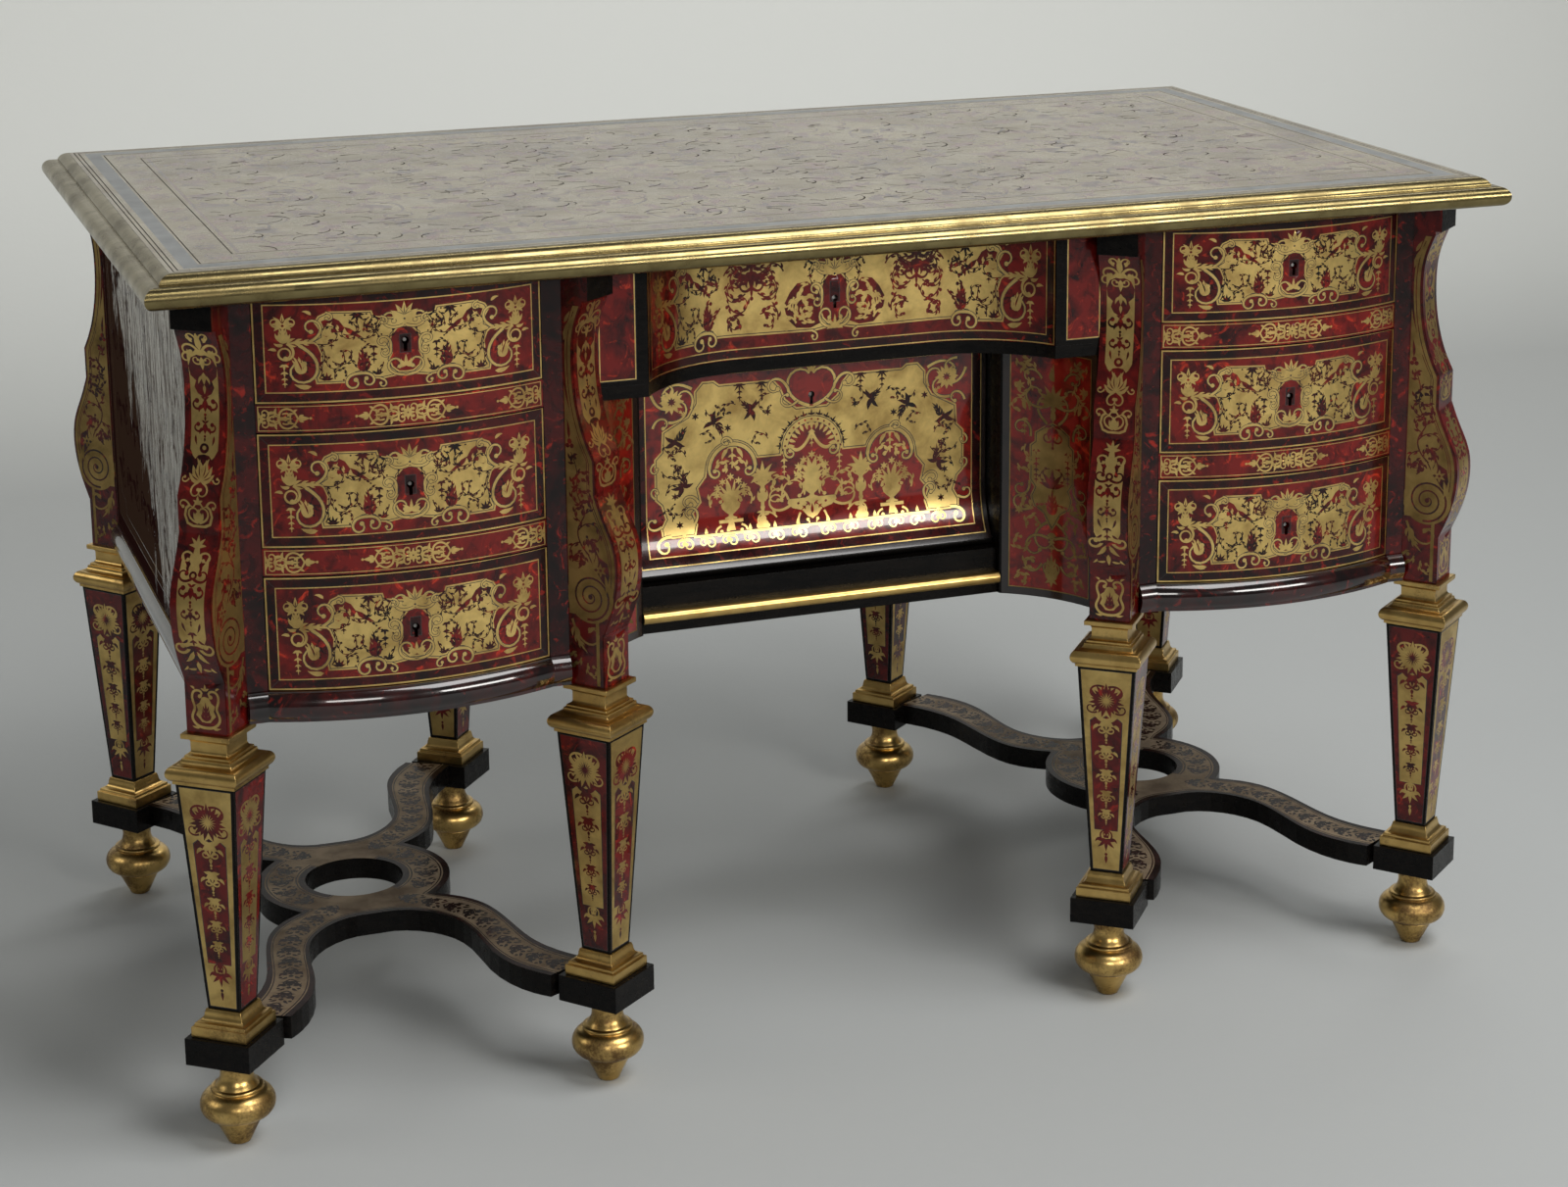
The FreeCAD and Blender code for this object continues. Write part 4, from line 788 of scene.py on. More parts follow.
def console_side_drawing(line):
    """Side of a console: a brass edging that follows the front and rolls up in the belly, and a vine behind it."""
    art = Drawing()

    def band(sheet, low, high, depth, back=None):
        levels = [low + (high - low) * k / 40 for k in range(41)]
        edge = [(front_at(level, line) - depth, level) for level in levels]
        if back is None:
            art.cut(sheet, [edge + [(HEEL + 1.2, high), (HEEL + 1.2, low)]])
        else:
            for (ax, az), (bx, bz) in zip(edge, edge[1:]):
                art.cut(sheet, [[(ax - back, az), (ax, az), (bx, bz), (bx - back, bz)]])

    band(BRASS, 450, 625, 2.4)
    band(BRASS, 625, 732, 2.4, 6.2)
    art.cut(BRASS, [[(HEEL + 1.2, 624), (front_at(625, line) - 8, 624), (HEEL + 3, 650), (HEEL + 1.2, 660)]])
    band(SHELL, 455, 727, 5.8, 0.8)
    band(SHELL, 500, 615, 8.0, 0.7)
    art.cut(BRASS, leaf(-16, 700, 80, 26, 4.5, -30) + scroll(-15, 704, 100, 16, -240, 1.5)
            + leaf(-15, 716, 60, 13, 3.4))
    # Volute in the belly
    center_x, center_z = 6.0, 470.0
    art.cut(SHELL, [rectangle_at(HEEL, 386, 24, 452)])
    art.cut(BRASS, disc(center_x, center_z, 24.5, 40))
    art.cut(BRASS, [rectangle_at(HEEL + 1.2, 462, 24, 478)])
    spiral = []
    for k in range(61):
        reach, (way_x, way_z) = 2.5 + 19.0 * k / 60, bearing(80 - 15 * k)
        spiral.append((center_x + reach * way_x, center_z + reach * way_z))
    art.cut(SHELL, ribbon(spiral, (1.3, 2.1)) + disc(center_x, center_z, 2.4, 12))
    # Flower and leaf over the volute, and the vine that grows from them
    art.cut(SHELL, [[(24, 480), (27, 492), (25, 503), (16, 508), (10, 521), (3, 523), (0, 514), (6, 500), (14, 493),
                     (19, 486)]])
    art.cut(BRASS, acanthus(10, 496, 100, 29, 15, 26, 4) + rosette(17.5, 496, 6.8, 6)
            + leaf(22, 492, 290, 20, 3.2, -40))
    art.cut(SHELL, disc(17.5, 496, 1.5, 8) + leaf(9, 500, 110, 16, 1.4, 22))
    stem = smooth_line([(6, 508), (-3, 518), (-5, 532), (2, 546), (-5, 562), (-5, 580), (-11, 600)], 40)
    art.cut(SHELL, ribbon(stem, (1.6, 0.9)))
    art.cut_each(SHELL, tendril, ((-3, 519, 190, 40, 280), (0, 514, 70, 30, -290), (-5, 530, 50, 50, -300),
                                  (-3, 538, 150, 26, -260), (2, 546, 20, 26, 290), (-1, 553, 170, 34, -280),
                                  (-5, 562, 50, 30, -280), (-5, 568, 160, 20, -250), (-5, 580, 50, 24, -270),
                                  (-8, 590, 160, 14, -240), (-12, 500, 80, 30, -280), (-6, 495, 30, 22, 250)), 1.3, 6.0)
    art.cut(SHELL, disc(-14.5, 606, 2.3, 8) + disc(-10, 606, 2.3, 8) + disc(-12.3, 610, 2.5, 8)
            + leaf(-13, 612, 85, 18, 3.0, 20))
    # Die: an upright brass strip and a leaf scroll
    art.cut(BRASS, [rectangle_at(11.2, 388, 14.6, 448)])
    art.cut(BRASS, scroll(-14, 447, 290, 58, 290, 2.6, tighten=2.2) + acanthus(-12, 440, 282, 28, 10, 40, 4)
            + tendril(-5, 412, 250, 32, -300, 1.7, 6) + tendril(2, 408, 250, 28, 290, 1.5, 5)
            + leaf(3, 436, 60, 11, 4, -50))
    return art.shapes


def unrolled(line):
    """Function that puts a point of an unrolled drawing on a board bent along a line, with the way out."""
    stops = stops_along(line)
    ways = []
    for k in range(len(line)):
        before, after = line[max(k - 1, 0)], line[min(k + 1, len(line) - 1)]
        length = math.dist(before, after)
        ways.append(((after[1] - before[1]) / length, -(after[0] - before[0]) / length))

    def spot(along):
        at = min(max(along, 0.0), stops[-1])
        k = next((index for index in range(len(line) - 1) if at <= stops[index + 1]), len(line) - 2)
        share = (at - stops[k]) / (stops[k + 1] - stops[k])
        mix = [a + (b - a) * share for a, b in zip(line[k] + ways[k], line[k + 1] + ways[k + 1])]
        return mix[:2], mix[2:]
    return spot, stops


def console_body(line, half):
    """Points and faces of a board with the outline of the console."""
    section = line + [(HEEL, line[-1][1]), (HEEL, line[0][1])]
    total = len(section)
    points = [(x, -half, z) for x, z in section] + [(x, half, z) for x, z in section]
    faces = [list(range(total)), list(range(2 * total - 1, total - 1, -1))]
    faces += [[k, total + k, total + (k + 1) % total, (k + 1) % total] for k in range(total)]
    return points, faces


def on_console_front(turn, middle):
    """Surface of a console's front, unrolled from its foot."""
    def spot(x, y):
        (out, level), (way_x, way_z) = front_spot(y)
        return turn @ Vector((out, x, level)) + middle, turn @ Vector((way_x, 0, way_z))
    return spot


console_shell = tortoiseshell("console_shell", (0.018, 0.0015, 0.0015), (0.085, 0.004, 0.003), (0.26, 0.016, 0.008),
                              0.48, 0.3)
console_brass = inlay_brass("console_brass", (0.70, 0.50, 0.18), (0.36, 0.235, 0.08))
dim_brass = inlay_brass("dim_inlay_brass", (0.43, 0.295, 0.107), (0.18, 0.12, 0.042), 0.42)
console_sheets = [console_shell, console_brass, line_black, console_shell]
front_line = [point for point in console_line if point[1] < CAP_LEVEL]
front_spot, front_stops = unrolled(front_line)
front_levels = [0.5] + front_stops[1:-1] + [front_stops[-1] - 0.5]
front_outline = [(-CONSOLE_HALF + 0.3, level) for level in front_levels]
front_outline += [(-x, y) for x, y in front_outline[::-1]]
front_folds = [((-CONSOLE_HALF, stop), (CONSOLE_HALF, stop)) for stop in front_stops[1:-1]]
side_outline = ([(HEEL + SIDE_MARGIN, CONSOLE_FOOT + SIDE_MARGIN)]
                + [(x - SIDE_MARGIN, max(z, CONSOLE_FOOT + SIDE_MARGIN)) for x, z in front_line[:-1]]
                + [(front_line[-1][0] - SIDE_MARGIN, CAP_LEVEL - 1), (HEEL + SIDE_MARGIN, CAP_LEVEL - 1)])
for place, middle, angle in leg_places():
    turn = Matrix.Rotation(angle, 3, "Z")
    points, faces = console_body(console_line, CONSOLE_HALF)
    body = new_piece("console_" + place, at_leg(points, middle, angle), faces, "carcass",
                     [console_shell, ebony], 35)
    for polygon in body.data.polygons:
        polygon.material_index = 1 if polygon.center.z > (CAP_LEVEL - 0.5) * MM else 0
    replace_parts(body, "consoles")
    marquetry("console_front_" + place, front_outline, console_front_drawing(), on_console_front(turn, middle),
              console_sheets, folds=front_folds)
    for hand in (-1, 1):
        marquetry(f"console_side_{place}_{'right' if hand > 0 else 'left'}", side_outline,
                  console_side_drawing(console_line),
                  lambda x, y: (turn @ Vector((x, hand * CONSOLE_HALF, y)) + middle, turn @ Vector((0, hand, 0))),
                  [console_shell, dim_brass, line_black, console_shell])

# Corner posts, side panels and backs
# Posts and panels of oak, veneered outside with shell. The side panels carry one large field of brass with scrolls of
# shell, and their grey is a painted reflection of the bright wall. The backs were left plain and ebonised.
SIDE_X, POST_BACK, MOULD_TOP = 598.0, 264.9, 413.0
# Slope and edges of the ragged patch where the painted grey reflection on the side panels gives way to the dark ground.
GLARE_LEAN, GLARE_EDGE, GLARE_END = 1.2, -0.13, -0.08
post_shell = tortoiseshell("post_shell", (0.007, 0.001, 0.001), (0.04, 0.0022, 0.002), (0.20, 0.010, 0.005), 0.52, 0.15)


def rectangle(half_x, half_y):
    """Rectangle round the middle of a drawing."""
    return [(-half_x, -half_y), (half_x, -half_y), (half_x, half_y), (-half_x, half_y)]


def inset(polygon, distance):
    """The same closed outline moved inwards; the outline runs anticlockwise."""
    moved = []
    for index, (x, y) in enumerate(polygon):
        (ax, ay), (bx, by) = polygon[index - 1], polygon[(index + 1) % len(polygon)]
        before, after = math.dist((ax, ay), (x, y)), math.dist((x, y), (bx, by))
        way_x = -(y - ay) / before - (by - y) / after
        way_y = (x - ax) / before + (bx - x) / after
        reach = 2 * distance / max(way_x * way_x + way_y * way_y, 0.5)
        moved.append((x + way_x * reach, y + way_y * reach))
    return moved


def side_drawing(half_x, half_y):
    """Side panel: lines, a brass field with broken corners, and sprays of shell on it."""
    art = Drawing((1, 1), (-1, 1))
    for margin, sheet in ((3, BRASS), (4, SHELL), (18, BRASS), (19, BLACK), (19.6, BRASS)):
        art.shapes.append((sheet, rectangle(half_x - margin, half_y - margin)))
    right, top = half_x - 30, half_y - 30
    field = [(0, -top), (right - 40, -top), (right - 36, -top + 14), (right - 14, -top + 18), (right, -top + 40),
             (right, top - 40), (right - 14, top - 18), (right - 36, top - 14), (right - 40, top), (0, top)]
    art.cut(BLACK, [field])
    art.cut(BRASS, [[(max(x, 0), y) for x, y in inset(field, 0.8)]])
    for column in range(5):
        for row in range(4):
            x, y = 22 + column * (right - 30) / 4.4, (row - 1.5) * (top - 14) / 2
            turn = 1 if (column + row) % 2 else -1
            art.cut(SHELL, scroll(x - 16, y, turn * 50, 62, turn * -340, 2.6))
            art.cut(SHELL, scroll(x + 4, y - 6, turn * 120, 54, turn * 320, 2.2))
            art.cut(SHELL, acanthus(x, y, 90 + turn * 60, 26, 11, turn * 50))
            art.cut(SHELL, acanthus(x + 6, y + 4, 270 + turn * 40, 22, 9, turn * -50))
            art.cut(SHELL, spray(x - 8, y - 12 * turn, 180, 14, 4, 5, 150, 40))
    art.cut(SHELL, chain(top - 10, -top + 20, 30, 22, 0.1))
    return art.shapes


def computed(material, operation, *values):
    """Result of a sum over outputs and numbers."""
    node = add_node(material, "Math", {"operation": operation})
    for socket, value in zip(node.inputs, values):
        feed(material, socket, value)
    return node.outputs[0]


def painted_glare_veneer(name, dark, light):
    """Veneer of a side panel: a painted grey reflection of the bright wall, made metallic there, in fine upright
    streaks with dark flecks, and giving way to the dark ground in a ragged patch low down at the back."""
    material, shader = new_material(name, Specular_IOR_Level=0.0)
    streaks = noise(material, 260, 6, 0.7, 0.2, (1, 1, 0.07))
    patches = noise(material, 30, 7, 0.75, 0.6, (1, 1, 0.3))
    flecks = ramp(material, noise(material, 110, 6, 0.75, 1.2, (1, 1, 0.3)), (0.40, (0.0,)), (0.45, (1.0,)))
    spread = add_node(material, "SeparateXYZ", Vector=add_node(material, "TexCoord").outputs["Object"]).outputs
    lean = computed(material, "SUBTRACT", spread["Y"], spread["Z"])
    reach = computed(material, "MULTIPLY_ADD", lean, GLARE_LEAN, patches)
    patch_mask = add_node(material, "MapRange", Value=reach, From_Min=GLARE_EDGE, From_Max=GLARE_END, To_Min=1.0,
                    To_Max=0.0).outputs["Result"]
    # kept: where the painted grey reflection shows, less the dark flecks, the streaks and the ragged patch low at the
    # back.
    kept = blended(material, "MULTIPLY", 1.0, blended(material, "MULTIPLY", 1.0, flecks, patch_mask),
                   ramp(material, streaks, (0.40, (0.25,)), (0.54, (1.0,))))
    drive(material, shader, Base_Color=blended(material, "MIX", kept, dark, light),
          Metallic=ramp(material, kept, (0.0, (0.0,)), (1.0, (0.85,))),
          Roughness=ramp(material, streaks, (0.3, (0.42,)), (0.6, (0.24,))))
    dented(material, shader, streaks, 0.00012)
    return material


# Side panel sheets: a painted grey reflection of the bright wall over dark grounds of shell and brass.
side_shell = painted_glare_veneer("side_shell", (0.028, 0.010, 0.009), (0.42, 0.40, 0.365))
side_brass = painted_glare_veneer("side_brass", (0.055, 0.030, 0.020), (0.50, 0.47, 0.42))
side_half = (CARCASS_TOP - MOULD_TOP) / 2
for side, sign in SIDES:
    finish_node(side + "_corner_posts", post_shell)
    finish_node(side + "_side_panels", post_shell)
    outline = rectangle(POST_BACK - 1, side_half - 1)
    marquetry(side + "_side_marquetry", outline, side_drawing(POST_BACK, side_half),
              lambda x, y: ((sign * SIDE_X, sign * x, MOULD_TOP + side_half + y), (sign, 0, 0)),
              [side_shell, side_brass, line_black, side_shell])
finish_node("back_panels", ebony)

# Front rails
# Bowed rails between the drawers, cut from solid oak and veneered with shell, each with a long flower of brass in
# the middle, half a flower at both ends, and a brass line along the edges.
LOWER_RAIL, UPPER_RAIL = (515.5, 540.5), (642.0, 667.0)
BOW_RADIUS, BOW_MIDDLE, BOW_HALF, BOW_STEPS = 327.5, 4.6, 125.5, 48


def moved(pieces, x, y=0.0, scale_x=1.0, scale_y=1.0):
    """The same pieces, scaled and then moved."""
    return [[(x + px * scale_x, y + py * scale_y) for px, py in polygon] for polygon in pieces]


def rail_drawing(half_x, half_y):
    """Rail: brass lines, and a flower between scrolls and hearts that point both ways."""
    art = Drawing((1, 1), (-1, 1), (1, -1), (-1, -1))
    art.shapes.append((BRASS, rectangle(half_x - 1.6, half_y - 1.3)))
    art.shapes.append((SHELL, rectangle(half_x - 2.6, half_y - 2.0)))
    heart = smooth_line([(17, 1), (18.5, 6), (23.5, 8.6), (29, 6.4), (33, 0)], 16)
    flower = (rosette(0, 0, 6.6, 8) + disc(0, 0, 2.0, 10) + scroll(7, 0, 60, 16, 300, 1.7)
              + scroll(8, 0, 40, 20, -300, 1.7) + leaf(7, 4, 30, 9, 3, -50) + leaf(14, 3, 100, 7, 2.6, -40)
              + ribbon(heart, (1.9, 1.5)) + scroll(20, 4, 20, 15, -290, 1.5) + leaf(15, 0, 0, 14, 3.4)
              + leaf(24, 2, 50, 7, 2.4, -60) + disc(26.5, 2.4, 1.1, 7) + leaf(29, 5, 60, 5, 2.2, -50)
              + leaf(32, 0, 0, 11, 4.6) + leaf(34, 0.6, 65, 5, 2.2, -70) + disc(43.6, 0, 1.2, 8))
    for start, way in ((0.0, 1), (half_x - 2.6, -1)):
        art.cut(BRASS, moved(flower, start, 0.0, way))
        art.cut(SHELL, moved(disc(0, 0, 0.8, 6), start, 0.0, way))
    art.cut(BRASS, [rectangle_at(half_x - 2.6, -half_y + 1.3, half_x - 1.6, half_y - 1.3)])
    art.cut(SHELL, [rectangle_at(half_x - 1.6, -half_y, half_x + 9, half_y)])
    return art.shapes


def bowed(middle, level):
    """Surface of a pedestal's bowed front, unrolled from its middle."""
    return lambda x, y: ((middle + BOW_RADIUS * math.sin(x / BOW_RADIUS),
                          BOW_MIDDLE - BOW_RADIUS * math.cos(x / BOW_RADIUS), level + y),
                         (math.sin(x / BOW_RADIUS), -math.cos(x / BOW_RADIUS), 0))


def upright_folds(half_x, half_y, count):
    """Lines across a drawing on which its sheets bend."""
    return [((half_x * (2 * k / count - 1), -half_y), (half_x * (2 * k / count - 1), half_y))
            for k in range(1, count)]


drawer_shell = tortoiseshell("drawer_shell", (0.022, 0.0016, 0.0016), (0.125, 0.0055, 0.004), (0.40, 0.028, 0.010),
                             0.46, 0.2)
drawer_brass = inlay_brass("drawer_brass", (0.78, 0.56, 0.20), (0.36, 0.235, 0.08), 0.3)
drawer_sheets = [drawer_shell, drawer_brass, line_black, post_shell]
rail_half = BOW_RADIUS * math.asin((BOW_HALF - 0.2) / BOW_RADIUS) - 0.5
for side, sign in SIDES:
    finish_node(side + "_front_rails", post_shell)
    for place, (low, high) in (("lower", LOWER_RAIL), ("upper", UPPER_RAIL)):
        half_y = (high - low) / 2 - 0.4
        marquetry(f"{side}_{place}_rail_marquetry", rectangle(rail_half, half_y), rail_drawing(rail_half, half_y),
                  bowed(sign * PEDESTAL_X, (low + high) / 2), drawer_sheets,
                  folds=upright_folds(rail_half, half_y, BOW_STEPS // 2))

# Base mouldings
# Half-round lengths of shell veneer over oak round the foot of each pedestal, bowed under the drawers, with short
# returns on the posts. They are polished hard, so the lamps draw a bright line along the torus.
RETURN_END, RETURN_FACE, SIDE_MOULD_HALF = 143.2, -297.9, 273.0
mould_shell = tortoiseshell("mould_shell", (0.004, 0.0008, 0.0008), (0.03, 0.002, 0.0015), (0.12, 0.007, 0.004), 0.55,
                            1.0)
mould_section = ([(0.2, 386.0), (4.5, 386.0), (4.5, 389.0)] + arc((4.8, 389.0), (8.0, 398.9), (2.4, 411.0), 16)
                 + [(2.0, 411.2), (2.0, 412.6), (0.2, MOULD_TOP)])


def swept(section, path):
    """Points and faces of a section carried along a path of (place, way out); the section is (out, level)."""
    points = [(x + out * way_x, y + out * way_y, level) for (x, y), (way_x, way_y) in path for out, level in section]
    count, faces = len(section), []
    for step in range(len(path) - 1):
        for k in range(count - 1):
            first = step * count + k
            faces.append([first, first + count, first + count + 1, first + 1])
    faces.append(list(range(count))[::-1])
    faces.append(list(range((len(path) - 1) * count, len(path) * count)))
    return points, faces


bow_end = math.asin(BOW_HALF / BOW_RADIUS)
lean = math.tan(bow_end / 2)
for side, sign in SIDES:
    path = []
    for k in range(BOW_STEPS + 1):
        angle = bow_end * (2 * k / BOW_STEPS - 1)
        way = (math.sin(angle), -math.cos(angle))
        if k in (0, BOW_STEPS):
            way = (math.copysign(lean, angle), -1.0)
        path.append(((sign * PEDESTAL_X + BOW_RADIUS * math.sin(angle), BOW_MIDDLE - BOW_RADIUS * math.cos(angle)),
                     way))
    pieces = [("bowed", path)]
    for end in (-1, 1):
        start, stop = sign * PEDESTAL_X + end * BOW_HALF, sign * PEDESTAL_X + end * RETURN_END
        run = [((start, RETURN_FACE), (end * lean, -1.0)), ((stop, RETURN_FACE), (0.0, -1.0))]
        pieces.append(("inner" if end == -sign else "outer", run if end > 0 else run[::-1]))
    pieces.append(("side", [((sign * SIDE_X, end * SIDE_MOULD_HALF), (sign, 0.0)) for end in (-sign, sign)]))
    for name, path in pieces:
        points, faces = swept(mould_section, path)
        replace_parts(new_piece(f"{side}_base_moulding_{name}", points, faces, "carcass",
                              [mould_shell], 30), "base_mouldings")

# Pedestal drawers
# Six drawers with bowed fronts of oak, veneered with shell under a shaped field of brass round a shell cartouche
# with the keyhole. Two brass lines run round each front, the outer one on its edge.
DRAWER_LEVELS = {"bottom": (MOULD_TOP, LOWER_RAIL[0]), "middle": (LOWER_RAIL[1], UPPER_RAIL[0]),
                 "top": (UPPER_RAIL[1], CARCASS_TOP)}
KEY_RISE, FRONT_PLAY, FRONT_LIFT, VENEER_MARGIN = 50.5, 1.2, 0.4, 0.3
CARTOUCHE_END, FIELD_RISE = 28.5, 40.5


def pendant(top, bottom, size):
    """Right half of a hanging string of drooping leaves, curled arms and beads."""
    pieces, y = [], top
    while y - size * 1.5 > bottom:
        pieces += leaf(0, y + 0.15 * size, 270, size * 1.2, size * 0.5)
        pieces += leaf(0.05 * size, y, 325, 1.05 * size, 0.34 * size, -85)
        pieces += leaf(0.1 * size, y + 0.1 * size, 20, 0.7 * size, 0.22 * size, -70)
        pieces += scroll(0, y - 0.85 * size, 305, 1.55 * size, 255, 0.17 * size, tighten=1.3)
        pieces += spray(0, y - 0.9 * size, 270, 0.6 * size, 0.18 * size, 3, 100, 40)
        pieces += disc(0, y - 1.5 * size, 0.12 * size, 7)
        y -= 1.72 * size
        size *= 0.93
    return pieces


def lined_field(art, field, line, edge):
    """Brass field with a thin black line inside its edge."""
    for depth, sheet in ((0, BRASS), (line, BLACK), (edge, BRASS)):
        art.cut(sheet, [[(max(x, 0), y) for x, y in inset(field, depth)]])


def lined_scrolls(art, places, edge=1.3):
    """Brass scrolls, each with a thin black line round it."""
    for place in places:
        art.cut(BLACK, scroll(*place, grow=edge))
        art.cut(BRASS, scroll(*place))


def candelabrum(art, x, y, scale):
    """Standing ornament of leaves and a flower over a volute with hanging flowers, at the end of a field."""
    head = (acanthus(0, 5, 90, 18, 10, 0, 4) + spray(0, 22, 90, 12, 3.6, 7, 200, 50) + scroll(2, 21, 350, 20, 300, 1.7)
            + scroll(-2, 21, 190, 20, -300, 1.7) + disc(0, 22, 3.4, 10))
    eye = disc(0, 22, 1.3, 8) + spray(0, 24, 90, 7, 0.8, 3, 60)
    foot = (leaf(0, 7, 20, 11, 3.6, 60) + leaf(0, 7, 160, 10, 3.6, -60) + leaf(0, 4, 330, 9, 3.2, 80)
            + scroll(-3, 5, 215, 54, 500, 2.6, tighten=1.35) + leaf(6, -2, 40, 8, 3, -70) + husks(0, -15, 270, 4, 6.5))
    for sheet, pieces in ((BRASS, head), (SHELL, eye), (BRASS, foot)):
        art.cut(sheet, moved(pieces, x, y, scale, scale))


def drawer_drawing(half_x, half_y, key_y=0.0, widen=0.0):
    """Drawer front: lines, then a shaped brass field round a red keyhole cartouche. A wider front has its field
    drawn out between cartouche and ends, with a hanging ornament of shell in the room so made."""

    def far(place):
        """Place on a wider front, where all beyond the cartouche moves out with the end."""
        return (place[0] + (widen if place[0] > CARTOUCHE_END else 0.0), *place[1:])

    border = Drawing()
    for margin, sheet in ((0.4, BRASS), (1.4, DARK), (8.8, BRASS), (9.8, SHELL)):
        border.cut(sheet, [rectangle(half_x - margin, half_y - margin)])
    for x, y in rectangle(half_x - 5.1, half_y - 5.1):
        side_x, side_y = math.copysign(3.6, x), math.copysign(3.6, y)
        border.cut(BLACK, ribbon([(x - side_x, y - side_y), (x + side_x, y + side_y)], (0.5, 0.5)))
    art = Drawing((1, 1), (-1, 1))
    field = [(-4, 16), (6, 14.5), (11, 9), (13.5, 0), (11, -8), (13.5, -14), (11, -21), (6, -25.5), (-4, -26),
             (-4, -31), (8, -30), (20, -32), (29, -31), (32, -26), (37, -24.5), (42, -25.5), (47, -29), (50, -34),
             (76, -34), (77, -28), (72, -17), (71, -6), (74, 2), (79, 6.5), (72, 11), (72, 17), (76, 24), (72.5, 30),
             (64, 34), (27.5, 33), (26, 28), (10, 25.5), (-4, 25.5)]
    field = [far(point) for point in field]
    lined_field(art, field, 1.4, 2.1)
    # Opening with shell ground under a leaf, and two large leaves of shell
    art.cut(SHELL, [[far(place) for place in ((70, 25), (61, 28.5), (55, 25), (50.5, 18), (53, 14), (60, 14), (66, 10),
                                              (69, 12), (68, 19))]])
    art.cut(BRASS, acanthus(*far((67, 11)), 105, 15, 8, 20, 3) + tendril(*far((56, 15)), 70, 20, -250, 1.3, 5))
    art.cut(SHELL, acanthus(36 + widen, -24, 94, 24, 12, -14, 4))
    art.cut(SHELL, leaf(51 + widen, 19, 228, 20, 4.5, -24))
    # Vines, sprigs and strings of flowers let into the field
    art.cut_each(DARK, tendril, map(far, ((74, 4, 195, 40, -250), (71, 2, 240, 42, 250), (62, -13, 215, 34, -250),
                                          (73, -29, 120, 34, -250), (53, -4, 250, 36, 250), (60, -30, 80, 22, 230),
                                          (52, 12, 200, 28, -230), (47, 25, 215, 34, 250), (30, 27, 320, 28, -240),
                                          (27, 14, 160, 26, -260), (40, 8, 200, 30, -230), (22, 24, 300, 34, -220),
                                          (46, -6, 280, 28, -230), (24, -8, 330, 26, 250), (19, -16, 280, 30, 230))))
    art.cut(DARK, husks(27, 0, 270, 3, 6) + husks(62 + widen, 8, 270, 2, 4.6))
    art.cut_each(DARK, spray, map(far, ((40, 31, 270, 9, 2.6, 5, 130, 30), (67, -31, 90, 8, 2.4, 5, 120, 20),
                                        (24, -28, 90, 7, 2.2, 3, 90, 30), (33, 19, 200, 8, 2.2, 3, 90, 30))))
    art.cut_each(DARK, disc, map(far, ((32, 30), (50, 30), (44, 14), (34, 4), (57, -16), (70, -8), (20, 10), (20, -4),
                                       (53, -31), (30, -18))), 0.9, 7)
    if widen:
        middle = 42 + widen * 0.44
        art.cut(SHELL, [[(13, -25), (24, -29), (38, -28), (47, -20), (50, -8), (44, 2), (37, 9), (27, 10), (20, 5),
                         (15, 0)]])
        art.cut_each(BRASS, tendril, ((18, -6, 30, 50, -300), (22, -16, 330, 46, 300), (40, -2, 290, 30, 260),
                                      (26, 8, 350, 26, -240), (20, -24, 350, 30, 240), (38, -24, 60, 26, -240)), 1.8, 6)
        hanging = (pendant(22, -22, 15) + acanthus(3, 14, 15, 24, 10, 50) + spray(0, 31, 270, 12, 4, 7, 170, 40)
                   + tendril(6, 24, 10, 40, -300, 1.6, 6) + tendril(6, 4, 320, 34, 250, 1.4, 6) + disc(24, -6, 1.6, 8)
                   + tendril(8, -14, 20, 30, -250, 1.3, 5) + tendril(22, 14, 300, 30, -200, 1.2, 5))
        art.cut_each(SHELL, tendril, ((50, 20, 60, 34, -260), (108, 20, 120, 34, 260), (104, -4, 240, 36, -250),
                                      (112, -6, 300, 30, 250), (56, -20, 100, 30, -250), (104, -26, 80, 26, 250),
                                      (114, 10, 60, 26, -240)), 1.5, 6)
        for turn in (-1, 1):
            art.cut(SHELL, moved(hanging, middle, 0.0, turn))
    # Brass scrolls that frame the field, each with a black line round it
    lined_scrolls(art, map(far, ((80, 6, 150, 44, -330, 2.6), (89, 3, 215, 80, 350, 2.9), (38, -25.5, 0, 36, -330, 2.6),
                                 (38, -25.5, 180, 30, 330, 2.4), (22, -31.5, 200, 16, 280, 1.8),
                                 (2, -29.5, 5, 38, 310, 2.4), (12.5, -3, 95, 28, -310, 2.2),
                                 (12.5, -3, 265, 20, 290, 2.0), (1, 17.5, 340, 42, 340, 2.4),
                                 (20, 27, 190, 14, 240, 1.8), (66, 33, 190, 14, 240, 1.8))), 1.0)
    art.cut(BRASS, acanthus(99 + widen, 5, 172, 27, 9, 20, 4) + acanthus(87 + widen, -24, 80, 19, 11, -30, 4))
    art.cut(SHELL, leaf(87.5 + widen, -21, 82, 13, 1.5, -26))
    art.cut(BRASS, leaf(80 + widen, -36, 345, 15, 4.5, 50) + leaf(78 + widen, 31, 60, 9, 3, -70))
    candelabrum(art, 102 + widen, 0, 0.98)
